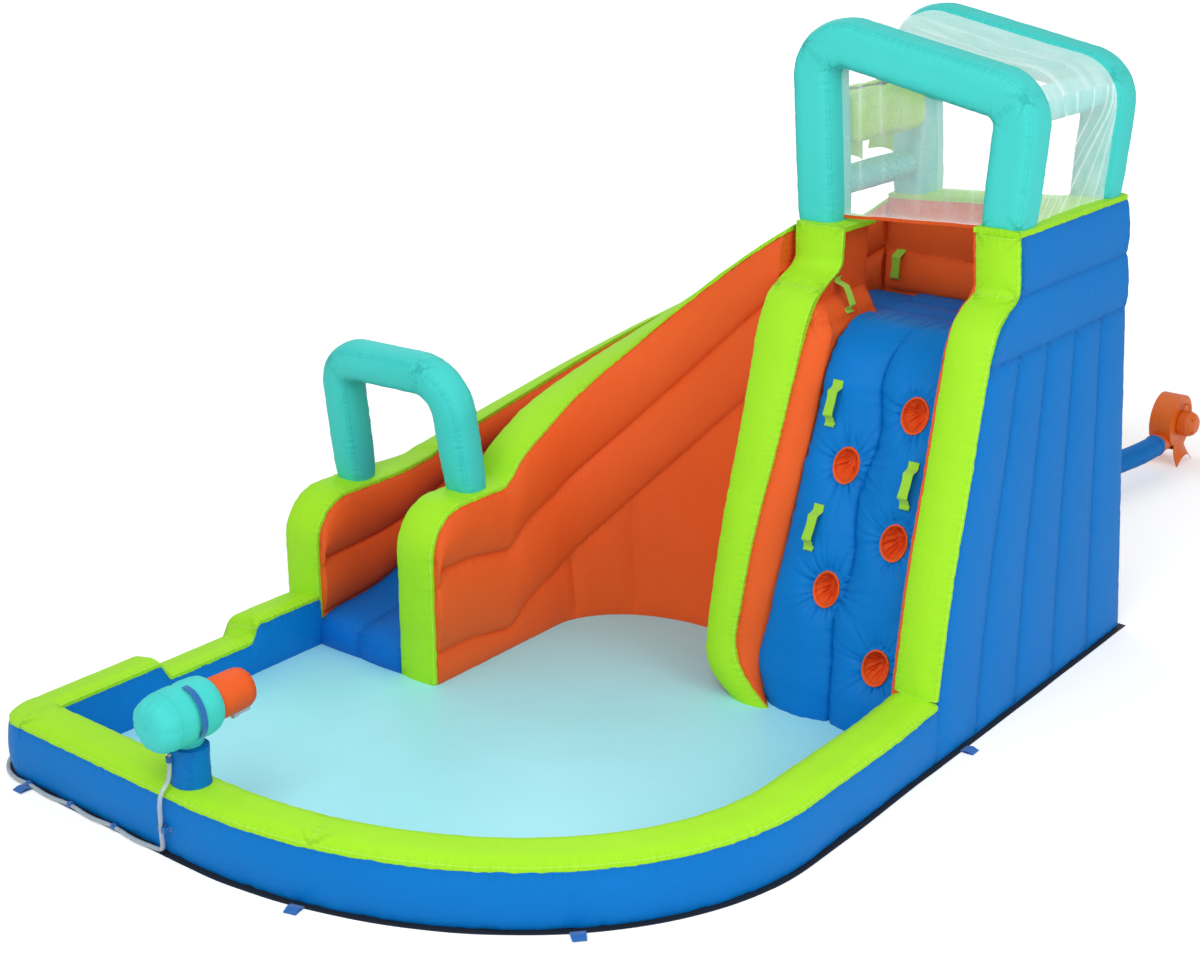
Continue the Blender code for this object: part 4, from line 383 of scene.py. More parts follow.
GREEN_WEBBING = woven_webbing("green_woven_webbing", "A2DC2C", "84C41C"), "green_webbing"
BLUE_WEBBING = woven_webbing("blue_woven_webbing", "006CBA", "0056A0"), "blue_webbing"
MESH = knitted_mesh("white_knitted_mesh"), "white_net"
HOSE_VINYL = clear_vinyl("clear_extruded_vinyl"), "clear_vinyl"
ORANGE_ABS = moulded_abs("orange_moulded_abs", "F0741A", "E4620E")
GREY_ABS = moulded_abs("grey_moulded_abs", "4A4E54", "3A3D42", 0.45)

# Sewn pieces


def dress(name, bm, finish, nodes, body="park", sharp=55):
    """Makes the finished piece, which rides on a body and stands for its CAD nodes."""
    mesh = bpy.data.meshes.new(name)
    bm.to_mesh(mesh)
    bm.free()
    piece = bpy.data.objects.new(name, mesh)
    bpy.context.collection.objects.link(piece)
    mesh.materials.append(finish[0])
    mesh.shade_smooth()
    mesh.set_sharp_from_angle(angle=radians(sharp))
    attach(piece, body)
    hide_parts(*nodes)
    return piece


def face_outwards(bm):
    bm.normal_update()
    bmesh.ops.recalc_face_normals(bm, faces=bm.faces)


def lay_seam_map(bm, metres):
    """Fills the UV map "seam": metres(vert) gives the way along the nearest seam and the way from it."""
    uv = bm.loops.layers.uv.new("seam")
    for face in bm.faces:
        for loop in face.loops:
            loop[uv].uv = metres(loop.vert)


def surface_of(piece):
    mesh = piece.data
    return BVHTree.FromPolygons([v.co for v in mesh.vertices], [face.vertices for face in mesh.polygons])


def smoothed(points):
    """The points drawn towards their neighbours; both ends stay."""
    inner = [a * 0.25 + b * 0.5 + c * 0.25 for a, b, c in zip(points[:-2], points[1:-1], points[2:])]
    return [points[0], *inner, points[-1]]


def domed(v):
    """Height of a panel across its width, 0 at both edges and 1 in the middle."""
    return (4 * v * (1 - v)) ** 0.6


def ripple(x, y=0.0, seed=0.0):
    """Smooth uneven waves from about -1 to 1."""
    return noise.noise((x, y, seed)) * 1.6


def small_folds(run, gap, spacing, seed):
    """The folds that stitching draws into a panel: short ones all along, and a few that run further out."""
    short = ripple(run / spacing, gap * 4, seed)
    far = ripple(run / (2.3 * spacing), gap * 2, seed + 7)
    return 0.6 * short * exp(-gap / SHORT_FOLD) + 0.3 * far * exp(-gap / LONG_FOLD)


def chamber(node_name, finish, stations, place, seams=(), puff=0.006, swell=0.05, pucker=0.003, spacing=0.030,
            wrinkle=0.0015, body="park", shape=None, cut=None, sharp=55):
    """A sewn air chamber or panel: a cube cut into a grid and pulled into shape by place(u, v, w), then blown up
    between its seams and drawn into small folds along them. A seam is (axis, station) and may have a third item,
    which tells from (u, v, w) where it runs. The UV map "seam" takes the metres along the nearest seam and away
    from it.
    """
    counts = [len(values) - 1 for values in stations]
    bm = bmesh.new()
    bmesh.ops.create_cube(bm, size=1.0)
    bmesh.ops.translate(bm, vec=(0.5, 0.5, 0.5), verts=bm.verts)
    for axis, count in enumerate(counts):
        if count > 1:
            runs = [e for e in bm.edges if abs(e.verts[0].co[axis] - e.verts[1].co[axis]) > 0.5]
            bmesh.ops.subdivide_edges(bm, edges=runs, cuts=count - 1)
    grid = {}
    for vert in bm.verts:
        key = tuple(round(vert.co[k] * counts[k]) for k in range(3))
        vert.co = place(*(stations[k][key[k]] for k in range(3)))
        grid[key] = vert
    face_outwards(bm)
    bm.normal_update()
    rest = {key: vert.co.copy() for key, vert in grid.items()}
    lines = []
    for axis, at, *where in seams:
        lines.append((axis, min(range(counts[axis] + 1), key=lambda k: abs(stations[axis][k] - at)), where))
    measured = {}

    def metres(axis, at, side_axis, side):
        """Length from a seam's start to each of its grid points."""
        if (axis, at, side_axis, side) not in measured:
            free = 3 - axis - side_axis
            points = []
            for k in range(counts[free] + 1):
                key = [k, k, k]
                key[axis], key[side_axis] = at, side
                points.append(rest[tuple(key)])
            measured[axis, at, side_axis, side] = lengths_along(points)
        return measured[axis, at, side_axis, side]

    sewn = {}
    seed = len(node_name) * 3.7
    for key, vert in grid.items():
        gap, run, lift, folds = FAR_FROM_SEAMS, 0.0, puff, 0.0
        at_grid = [stations[k][key[k]] for k in range(3)]
        for number, (axis, at, where) in enumerate(lines):
            sides = [k for k in range(3) if k != axis and key[k] in (0, counts[k])]
            if not sides or where and not where[0](*at_grid):
                continue
            foot = list(key)
            foot[axis] = at
            away = (rest[tuple(foot)] - rest[key]).length
            line = metres(axis, at, sides[0], key[sides[0]])[key[3 - axis - sides[0]]]
            lift *= 1 - exp(-away / swell)
            if away < FOLD_REACH:
                folds += small_folds(line, away, spacing, seed + number)
            if away < gap:
                gap, run = away, line
        point = rest[key]
        slack = wrinkle * (noise.noise(point * 9) + 2 * noise.noise(point * 3.3)) * min(1.0, gap / 0.06)
        move = lift + pucker * folds + slack
        if shape:
            move += shape(*at_grid)
        vert.co = point + vert.normal * move
        vert.co.z = max(vert.co.z, min(point.z, FLOOR_Z))
        sewn[vert.index] = (run, gap)
    lay_seam_map(bm, lambda vert: sewn[vert.index])
    if cut:
        cut(bm)
    return dress(f"{node_name}_fabric", bm, finish, [node_name], body, sharp)


def squared_disc(v, w, power):
    """A point of the square from -1 to 1 moved onto a disc: power 2 is round, more is squarer."""
    reach = max(abs(v), abs(w))
    if reach == 0:
        return v, w
    length = (abs(v / reach) ** power + abs(w / reach) ** power) ** (1 / power)
    return v / length, w / length


def rounded_path(corners, radius, steps=16):
    """The corner points joined by straight runs, each corner an arc."""
    path = [Vector(corners[0])]
    for before, here, after in zip(corners[:-2], corners[1:-1], corners[2:]):
        here = Vector(here)
        first = (Vector(before) - here).normalized()
        second = (Vector(after) - here).normalized()
        half = acos(max(-1.0, min(1.0, first.dot(second)))) / 2
        centre = here + (first + second).normalized() * (radius / sin(half))
        reach = radius / (sin(half) / cos(half))
        start, end = here + first * reach - centre, here + second * reach - centre
        turn = start.angle(end)
        for k in range(steps + 1):
            t = k / steps
            path.append(centre + (start * sin((1 - t) * turn) + end * sin(t * turn)) / sin(turn))
    path.append(Vector(corners[-1]))
    return path


def lengths_along(points):
    """Length from the start of a line of points to each of them."""
    lengths = [0.0]
    for a, b in zip(points[:-1], points[1:]):
        lengths.append(lengths[-1] + (b - a).length)
    return lengths


def respaced(points, spacing):
    """Points evenly spaced along a line of points."""
    lengths = lengths_along(points)
    count = max(2, round(lengths[-1] / spacing))
    spaced, k = [], 0
    for step in range(count + 1):
        want = lengths[-1] * step / count
        while k < len(points) - 2 and lengths[k + 1] < want:
            k += 1
        share = (want - lengths[k]) / max(1e-9, lengths[k + 1] - lengths[k])
        spaced.append(points[k].lerp(points[k + 1], share))
    return spaced


def tube(node_name, finish, path, across, half_out, half_along, power=2, feet=(None, None), ring=10, pinch=0.06,
         mitres=(), **sewing):
    """A tube along a path. across is the direction that no bend turns; its ends are drawn in a little."""
    points = respaced([Vector(p) for p in path], TUBE_STEP)
    across = Vector(across).normalized()
    last = len(points) - 1

    def place(u, v, w):
        k = round(u * last)
        before = points[k] - points[max(k - 1, 0)]
        after = points[min(k + 1, last)] - points[k]
        before = before.normalized() if before.length else after.normalized()
        after = after.normalized() if after.length else before
        outward = (before + after).cross(across).normalized()
        a, b = squared_disc(v, w, power)
        ends = min(k, last - k) * TUBE_STEP
        narrow = 1 - pinch * exp(-ends / 0.06)
        point = points[k] + outward * (a * half_out * narrow) + across * (b * half_along * narrow)
        foot = feet[0] if k == 0 else feet[1] if k == last else None
        if foot:
            point += after * ((foot(point) - point.z) / after.z)
        return point

    grid = evenly(-1, 1, ring)
    seams = [(0, 0), (0, 1), *((0, at) for at in mitres), (1, -1), (1, 1), (2, -1), (2, 1)]
    chamber(node_name, finish, [evenly(0, 1, last), grid, grid], place, seams, **sewing)


# Pool


def front_pool_outline(k):
    """Outer foot of the pool wall as (inset, depth): k 0 to 3 along the tower's side, to 19 round the curve and
    to 23, the front left corner, along the front."""
    start = front_depth(0) - STRIP
    if k < 3:
        return 0.0, mix(start, POOL_TURN_DEPTH, k / 3)
    if k < 19:
        angle = (k - 3) / 16 * pi / 2
        depth = POOL_TURN_DEPTH + (POOL_DEPTH - POOL_TURN_DEPTH) * sin(angle)
        return POOL_TURN_INSET * (1 - cos(angle)), depth
    return mix(POOL_TURN_INSET, PARK_WIDTH - POOL_CORNER, (k - 19) / 4), POOL_DEPTH


def pool_rail(k, across):
    """The outline point moved across the wall, into the pool."""
    a, b = front_pool_outline(max(k - 0.6, 0)), front_pool_outline(min(k + 0.6, POOL_STATIONS))
    di, dd = b[0] - a[0], b[1] - a[1]
    length = hypot(di, dd)
    here = front_pool_outline(k)
    return here[0] + dd / length * across, here[1] - di / length * across


def top_drop(share):
    """The lime top panels are nearly flat in the middle and roll down to both seams."""
    edge = min(share, 1 - share)
    return TOP_CROWN * max(0.0, 1 - edge / (1.6 * TOP_FLAT)) ** 1.6


def tuck(w):
    """A wall's outer face stands fullest a little above the middle and draws in at its foot and its top seam."""
    return sin(pi * clamp(w)) ** 0.7


def pool_run(side, stations, wall, cover, wall_end, joints):
    """One run of the pool's edge: the blue chamber and the lime panel over it."""
    chamber(f"pool_wall_{side}", BLUE, [stations, eased(0, 1, 8), eased(0, 1, 14)], wall,
            [(2, 0), (2, 1), (0, wall_end)], puff=0.004, pucker=0.0035)
    chamber(f"pool_top_{side}", LIME, [stations, eased(0, 1, 14), [0, 1]], cover,
            [(1, 0), (1, 1), *((0, at) for at in joints)], puff=0.006, swell=0.04, pucker=0.0028)


def pool_front():
    """The curved front, which leans with the tower's right wall where it meets it."""
    def leant(k, across, z):
        i, d = pool_rail(k, across)
        share = max(0.0, 1 - k)
        return spot(i + right_outer(z) * share, d + (front_depth(z) - front_depth(0)) * share, z)

    def wall(k, v, w):
        side = -1 if v == 0 else 1 if v == 1 and k < POOL_STATIONS else 0
        z = mix(FLOOR_Z, POOL_HEIGHT - TOP_PANEL - top_drop(v), w)
        return leant(k, POOL_WALL * v + side * POOL_BULGE * tuck(w), z)

    def cover(k, v, w):
        return leant(k, POOL_WALL * v, POOL_HEIGHT - top_drop(v) - TOP_PANEL * (1 - w))

    pool_run("front", evenly(0, POOL_STATIONS, 330), wall, cover, 0, (0, TOP_JOINT, POOL_STATIONS))


def left_rail(t, across):
    """Round the front left corner (t 0 to 1) and back along the left wall to the slide (t 1 to 2)."""
    if t < 1:
        radius = max(POOL_CORNER - across, 0.006)
        i = PARK_WIDTH - POOL_CORNER + radius * sin(t * pi / 2)
        return i, POOL_DEPTH - POOL_CORNER + radius * cos(t * pi / 2)
    return PARK_WIDTH - across, mix(POOL_DEPTH - POOL_CORNER, SLIDE_EXIT_DEPTH + GAP, t - 1)


def left_height(depth):
    """The left wall dips where people step in."""
    ramp = clamp(min((depth - STEP_START) / STEP_RAMP, (STEP_END - depth) / STEP_RAMP) + 0.5)
    return POOL_HEIGHT - STEP_DROP * ramp * ramp * (3 - 2 * ramp)


def pool_left():
    """The front left corner and the left side, whose outer edge lies lower."""
    stations = evenly(0, 1, 26) + evenly(1, 2, 120)[1:]
    start, end = POOL_DEPTH - POOL_CORNER, SLIDE_EXIT_DEPTH

    def wall(u, v, w):
        side = -1 if v == 0 else 1 if v == 1 and u > 1 else 0
        i, d = left_rail(u, POOL_WALL * v + side * POOL_BULGE * tuck(w))
        tilt = LEFT_TILT * min(1.0, u) * (1 - v)
        return spot(i, d, mix(FLOOR_Z, left_height(d) - TOP_PANEL - top_drop(v) - tilt, w))

    def cover(u, v, w):
        i, d = left_rail(u, POOL_WALL * v)
        tilt = LEFT_TILT * min(1.0, u) * (1 - v)
        return spot(i, d, left_height(d) - top_drop(v) - tilt - TOP_PANEL * (1 - w))

    joints = [1 + (start - depth) / (start - end) for depth in (STEP_START, STEP_END)]
    pool_run("left", stations, wall, cover, 2, (*joints, 0, 2))


# Slide


TURN_START, TURN_END, POST_START = 0.15, 0.65, 0.80
NEAR_SLOPE = [(0, 1), (0.15, 0.828), (0.30, 0.617), (0.445, 0.416), (0.55, 0.297), (0.65, 0.20), (0.74, 0.10),
              (POST_START, 0.0), (1, 0)]
FAR_SLOPE = [(0, 1), (0.15, 0.833), (0.36, 0.465), (0.46, 0.289), (0.53, 0.175), (0.60, 0.09), (0.68, 0.02),
             (POST_START, 0.0), (1, 0)]
BED_SLOPE = [(0, 1), (0.15, 0.866), (0.40, 0.518), (0.65, 0.194), (0.75, 0.089), (0.86, 0.024), (1, 0)]


def slide_rail(t, inset_reach, depth_reach):
    """Plan of one long edge of the slide: out of the tower (t 0), round a quarter turn, to the exit (t 1)."""
    if t < TURN_START:
        return mix(LEFT_OUTER_TOP, SLIDE_TURN_INSET, t / TURN_START), SLIDE_TURN_DEPTH - depth_reach
    if t < TURN_END:
        angle = (t - TURN_START) / (TURN_END - TURN_START) * pi / 2
        return SLIDE_TURN_INSET + inset_reach * sin(angle), SLIDE_TURN_DEPTH - depth_reach * cos(angle)
    run = (t - TURN_END) / (1 - TURN_END)
    return SLIDE_TURN_INSET + inset_reach, mix(SLIDE_TURN_DEPTH, SLIDE_EXIT_DEPTH, run)


def straight_t(depth):
    """The station of the slide's last straight run at a depth."""
    return mix(TURN_END, 1, (depth - SLIDE_TURN_DEPTH) / (SLIDE_EXIT_DEPTH - SLIDE_TURN_DEPTH))


def far_outer(t, z):
    """One of the slide's four long edges: (inset, depth) at a station and a height. Three of them are upright."""
    return slide_rail(t, PARK_WIDTH - SLIDE_TURN_INSET, SLIDE_TURN_DEPTH - FAR_BACK_DEPTH)


def far_inner(t, z):
    return slide_rail(t, PARK_WIDTH - SLIDE_WALL - SLIDE_TURN_INSET, SLIDE_TURN_DEPTH - BACK_WALL - BACK_LINER)


def near_inner(t, z):
    reach = PARK_WIDTH - SLIDE_WALL - BED_WIDTH - SLIDE_TURN_INSET
    return slide_rail(t, reach, SLIDE_TURN_DEPTH - DOOR_DEPTH)


def near_outer(t, z):
    reach = PARK_WIDTH - 2 * SLIDE_WALL - BED_WIDTH - SLIDE_TURN_INSET
    i, d = slide_rail(t, reach, SLIDE_TURN_DEPTH - NEAR_BASE_DEPTH + NEAR_LEAN * z)
    return mix(left_outer(z), i, clamp(t / 0.02)), d


def near_top(t):
    return mix(NEAR_POST, SLIDE_TOP, along(NEAR_SLOPE, t))


def far_top(t):
    return mix(FAR_POST, SLIDE_TOP, along(FAR_SLOPE, t))


def bed_top(t):
    return mix(BED_END, PLATFORM_TOP - BED_START_DROP, along(BED_SLOPE, t))


def far_tilt(t):
    return FAR_TILT * clamp(min(t / TURN_START, (POST_START - t) / 0.2))


def slide_wall(name, outer, inner, top, tilt, swell_side, tubes_end, creases=()):
    """One side wall of the slide with two long air tubes, and the lime panel over its top and down its end."""
    level = top(1)
    rounding = SLIDE_EXIT_DEPTH - EXIT_ROUND
    round_start = straight_t(rounding)
    inside = EXIT_ROUND - TOP_PANEL
    ends = [straight_t(rounding + inside * sin(a)) for a in evenly(0, pi / 2, 16)]
    steps = evenly(0, 1, 18) + evenly(1, 2, 20)[1:] + eased(2, 3, 16)[1:]

    def body(u, v, step):
        """Down the wall, step runs over the upper tube to 1, the lower one to 2 and the flat foot to 3."""
        reach = (u - round_start) / (1 - round_start) * EXIT_ROUND
        fall = max(0.0, inside - sqrt(max(0.0, inside**2 - reach**2))) if reach > 0 else 0.0
        high = top(u) - TOP_PANEL - tilt(u) * (1 - v) - fall
        groove, low = tubes_end(u)
        levels = (high, min(groove, mix(high, low, 0.3)), low, FLOOR_Z)
        part = max(0, ceil(step) - 1)
        z = mix(levels[part], levels[part + 1], step - part)
        full = SLIDE_BULGE * (1.5 if v == swell_side else 0.5)
        if step < 2:
            out = full * abs(sin(pi * step)) ** 0.55 * clamp((z - FLOOR_Z) / 0.03)
        else:
            out = 0.4 * full * sin(pi * (step - 2)) ** 0.6
        a, b = outer(u, z), inner(u, z)
        share = v + (1 if v == 1 else -1) * out / hypot(b[0] - a[0], b[1] - a[1])
        return spot(mix(a[0], b[0], share), mix(a[1], b[1], share), z)

    def upright_seams(u, v, step):
        """Shallow upright seams in the flat panel under the tubes."""
        if v != swell_side or step < 2:
            return 0.0
        fade = clamp((step - 2) * 6) * clamp((3 - step) * 6)
        aways = [abs(u - at - 0.03 * (3 - step)) for at in creases]
        return -fade * sum(0.005 * exp(-away / 0.004) + 0.010 * exp(-((away / 0.022) ** 2)) for away in aways)

    long = [*evenly(0, round_start, 250)[:-1], *ends]
    chamber(f"{name}_wall", ORANGE, [long, [0, 1], steps], body, [(2, 0), (2, 1), (2, 2), (2, 3), (0, 0)],
            puff=WALL_PUFF, pucker=0.0026, spacing=WALL_FOLDS, shape=upright_seams)

    def cover(u, v, w):
        """u up to 1 runs along the top, from 1 to 2 round the end and from 2 to 3 down to the floor."""
        inward = TOP_PANEL * w
        if u <= 1:
            t = u * round_start
            z = top(t) - inward - tilt(t) * (1 - v)
        elif u <= 2:
            angle = (u - 1) * pi / 2
            t = straight_t(rounding + (EXIT_ROUND - inward) * sin(angle))
            z = level - EXIT_ROUND + (EXIT_ROUND - inward) * cos(angle)
        else:
            t, z = straight_t(SLIDE_EXIT_DEPTH - inward), mix(level - EXIT_ROUND, FLOOR_Z, u - 2)
        a, b = outer(t, z), inner(t, z)
        crown = TRIM_CROWN * domed(v) * (1 - w)
        point = spot(mix(a[0], b[0], v), mix(a[1], b[1], v), z)
        angle = clamp(u - 1) * pi / 2
        return point + Vector((0, -sin(angle) * crown, cos(angle) * crown))

    runs = evenly(0, 1, 220) + evenly(1, 2, 24)[1:] + evenly(2, 3, 36)[1:]
    chamber(f"{name}_trim", LIME, [runs, eased(0, 1, 14), [0, 1]], cover, [(1, 0), (1, 1), (0, 0), (0, 3)],
            puff=0.004, swell=0.04, pucker=0.003)


def slide():
    """Both side walls, each with its grooves' heights, and the bed between them."""
    def near_grooves(t):
        first = 0.25 + 0.11 * sin(pi * clamp(t / 0.9))
        return near_top(t) - first, near_top(t) - first - 0.36

    def far_grooves(t):
        low = bed_top(t) + BED_EDGE
        return (far_top(t) - TOP_PANEL + low) / 2, low

    slide_wall("slide_near", near_outer, near_inner, near_top, lambda t: 0.0, 0, near_grooves, (0.55, 0.36))
    slide_wall("slide_far", far_outer, far_inner, far_top, far_tilt, 1, far_grooves)

    def bed(u, v, w):
        """The bed starts inside the doorway, level with the platform, and ends at the pool."""
        t = max(u, 0.0)
        high = bed_top(t)
        a, b = near_inner(t, high), far_inner(t, high)
        if u < 0:
            inset = mix(LEFT_OUTER_TOP, LEFT_INNER, u / -TURN_START)
            a, b = (inset, DOOR_DEPTH), (inset, BACK_WALL + BACK_LINER)
        end = clamp((t - 0.90) / 0.10)
        full = abs(sin(BED_TUBES * pi * v)) ** 0.7
        low = high - min(BED_THICK, high - FLOOR_Z) * (1 - end) - (high - FLOOR_Z) * end
        rounding = 0.035 * (1 - sqrt(max(0.0, 1 - clamp((t - 0.955) / 0.045) ** 2)))
        high += BED_CROWN * 1.3 * full - rounding
        out = 0.022 * (0.4 + 0.6 * full) * sin(pi * w) ** 0.7 if u == 1 else 0.0
        return spot(mix(a[0], b[0], v), mix(a[1], b[1], v) + out, mix(low, high, w))

    stations = evenly(-TURN_START, 0, 16) + evenly(0, 0.95, 170)[1:] + eased(0.95, 1, 12)[1:]
    chamber("slide_bed", DEEP_BLUE, [stations, evenly(0, 1, 28), eased(0, 1, 10)], bed,
            [(1, 0), (1, 0.5), (1, 1), (0, -TURN_START)], puff=0.003, pucker=0.003)


def slide_arch():
    """The leaning arch over the slide's exit, from one side wall's post to the other's."""
    near = PARK_WIDTH - 1.5 * SLIDE_WALL - BED_WIDTH
    far = PARK_WIDTH - 0.5 * SLIDE_WALL
    corners = []
    top = SLIDE_ARCH_TOP
    for inset, z in ((far, FAR_POST), (far - 0.06, top), (near - 0.01, top + 0.015), (near, NEAR_POST)):
        leant = SLIDE_ARCH_DEPTH + SLIDE_ARCH_LEAN * (z - NEAR_POST) / (SLIDE_ARCH_TOP - NEAR_POST)
        corners.append(spot(inset, leant, z))
    across = Vector((0, SLIDE_ARCH_TOP - NEAR_POST, SLIDE_ARCH_LEAN))
    thick = 0.44 * SLIDE_ARCH_TUBE
    tube("slide_arch", TEAL, rounded_path(corners, 0.15), across, thick, thick, power=2.6, mitres=(0.36, 0.66),
         feet=(lambda p: FAR_POST - 0.004, lambda p: NEAR_POST - 0.004), puff=0.002, swell=0.02, pinch=0.12)


# Tower


FRONT_SHAPE = [(0, 1), (0.085, 0.993), (0.164, 0.957), (0.471, 0.783), (0.757, 0.565), (0.929, 0.442),
               (1.043, 0.348), (1.114, 0.261), (1.157, 0.145), (1.182, 0.036), (1.207, 0), (3, 0)]


def front_depth(z):
    """Depth of the front edge of the climbing side at a height."""
    return mix(RIM_DEPTH, BASE_DEPTH, along(FRONT_SHAPE, z / PLATFORM_TOP))


def climb_face(z):
    """Depth of the climbing wall, which lies behind the lime strips and rounds over onto the platform."""
    back = CLIMB_SET_BACK * (2 + min(1.0, z / 0.6)) / 3
    crest = max(0.0, 1 - (CLIMB_TOP - z) / CREST_HEIGHT)
    return front_depth(z) - back - CREST_DEPTH * (1 - sqrt(max(0.0, 1 - crest**2)))


def rim_height(inset):
    return mix(RIM_RIGHT, RIM_LEFT, inset / LEFT_OUTER_TOP) - RIM_FALL


def right_outer(z):
    return LEAN * z


def right_inner(z):
    return right_outer(z) + SIDE_WALL + SIDE_LINER


def left_outer(z):
    return mix(LEFT_OUTER_BASE, LEFT_OUTER_TOP, min(1.0, z / PLATFORM_TOP))


def strip_inner(z):
    upright = 0.045 * clamp(z / 1.5 - 0.4)
    return LEFT_INNER - NOSE_TURN * max(0.0, 1 - z / NOSE_HEIGHT) ** 2 - upright


def strip_outer(z):
    return left_outer(z) - 0.02 - (NOSE_TURN - 0.04) * max(0.0, 1 - z / NOSE_HEIGHT) ** 3


def tubes(share, count):
    """Height of a row of round air tubes, 0 in each seam and 1 on each crest."""
    return sqrt(abs(sin(pi * count * share)))


def cushion_end(under):
    """How far a strip stands out at a distance under its cross seam, where its lower part ends like a cushion."""
    return 0.020 * sqrt(clamp(under / 0.03)) * clamp((0.30 - under) / 0.25) if under > 0 else 0.0


def climb_strip(side, heights, strip, seams):
    """A lime strip up the front edge of one of the tower's walls."""
    chamber(f"climb_strip_{side}", LIME, [eased(0, 1, 16), heights, [0, 1]], strip,
            [(0, 0), (0, 1), *((1, at) for at in seams)], puff=0.005, pucker=0.0028)


def rim(side, place):
    """The lime panel on top of one of the tower's walls."""
    chamber(f"rim_{side}", LIME, [evenly(0, 1, 80), eased(0, 1, 14), [0, 1]], place,
            [(1, 0), (1, 1), (0, 0), (0, 1)], puff=0.003, pucker=0.0025)


def tower_right():
    """The tall blue wall of upright tubes, its orange liner, and the lime strip and rim on its edges."""
    top = RIM_RIGHT - RIM_PANEL
    band = (BAND_SEAM + top) / 2
    heights = [*evenly(FLOOR_Z, BAND_SEAM, 110), *evenly(BAND_SEAM, band, 20)[1:], *evenly(band, top, 20)[1:]]

    def wall(u, v, w):
        inset = right_outer(v) + w * SIDE_WALL
        if w == 0 and v < BAND_SEAM:
            ends = clamp((v - FLOOR_Z) / 0.06) * clamp((BAND_SEAM - v) / 0.05)
            inset -= TOWER_BULGE * tubes(u, SIDE_TUBES) * sqrt(ends)
        elif w == 0:
            inset -= TOWER_BULGE * tubes((v - BAND_SEAM) / (top - BAND_SEAM), 2)
        return spot(inset, u * (front_depth(v) - STRIP), v)

    uprights = [(0, k / SIDE_TUBES, lambda u, v, w: v <= BAND_SEAM) for k in range(1, SIDE_TUBES)]
    level = [(1, z) for z in (FLOOR_Z, BAND_SEAM, band, top)]
    chamber("tower_right_wall", BLUE, [evenly(0, 1, 110), heights, [0, 1]], wall,
            [*level, (0, 0), (0, 1), *uprights], puff=WALL_PUFF, pucker=WALL_PUCKER, spacing=WALL_FOLDS)

    def liner(u, v, w):
        inset = right_outer(v) + SIDE_WALL + GAP + w * (SIDE_LINER - GAP)
        return spot(inset, mix(BACK_WALL + BACK_LINER, front_depth(v) - 0.002, u), v)

    chamber("tower_right_liner", ORANGE, [evenly(0, 1, 60), evenly(FLOOR_Z, top, 130), [0, 1]], liner,
            [(1, BAND_SEAM), (1, top), (0, 0), (0, 1)], puff=0.010, pucker=0.003)

    def strip(u, v, w):
        crown = (STRIP_CROWN * sin(pi * u) ** 0.7 + cushion_end(RIGHT_STRIP_SEAM - v)) * (1 - w)
        return spot(mix(right_outer(v), right_inner(v) - 0.012, u), front_depth(v) - w * STRIP + crown, v)

    climb_strip("right", evenly(POOL_HEIGHT, top, 160), strip, (POOL_HEIGHT, RIGHT_STRIP_SEAM, top))

    def over(u, v, w):
        z = RIM_RIGHT - RIM_PANEL * (1 - w) + RIM_CROWN * domed(v) * w
        return spot(mix(right_outer(z), right_inner(z), v), u * RIM_DEPTH, z)

    rim("right", over)


def left_swell(share, z):
    """The left wall's inside is a fat tube up to the rim's seam; it thins out at the door and at the floor."""
    ends = min(1.0, share / 0.12, (1 - share) / 0.10)
    heights = min(1.0, z / 0.25, max(0.0, (BAND_SEAM + 0.10 - z) / 0.10))
    return LEFT_BULGE * sqrt(max(0.0, ends)) * sqrt(heights)


def left_face(share, z):
    """The left wall's inside, from the doorway (share 0) to the nose that turns in at its front (share 1)."""
    return mix(LEFT_INNER, strip_inner(z), share**6) - left_swell(share, z)


def tower_left():
    """The orange wall between the door and the climbing side, and the lime strip up its front."""
    top = RIM_LEFT - RIM_PANEL

    def wall(u, v, w):
        outer = mix(left_outer(v), strip_outer(v), u**6)
        return spot(mix(left_face(u, v), outer, w), mix(DOOR_DEPTH, front_depth(v) - STRIP, u), v)

    chamber("tower_left_wall", ORANGE, [eased(0, 1, 44), evenly(FLOOR_Z, top, 165), [0, 1]], wall,
            [(0, 0), (0, 1), (1, CLIMB_TOP), (1, top), (1, FLOOR_Z)], puff=0.004, pucker=0.003)

    def strip(u, v, w):
        """Up the front of the wall, then back over the post's top for v from RIM_LEFT to RIM_LEFT + 1."""
        over = max(0.0, v - RIM_LEFT)
        z = min(v, RIM_LEFT)
        crown = (STRIP_CROWN * sin(pi * u) ** 0.7 + cushion_end(LEFT_STRIP_SEAM - z)) * (1 - w)
        depth = mix(front_depth(z) - w * STRIP + crown * (over == 0), DOOR_DEPTH, over)
        if v >= RIM_LEFT:
            z += 0.4 * crown * min(1.0, over / 0.1) - w * RIM_PANEL
        return spot(mix(strip_inner(z), mix(strip_outer(z), left_outer(z), over), u), depth, z)

    heights = [*evenly(FLOOR_Z, RIM_LEFT, 175), *evenly(RIM_LEFT, RIM_LEFT + 1, 24)[1:]]
    climb_strip("left", heights, strip, (LEFT_STRIP_SEAM, RIM_LEFT, RIM_LEFT + 1))


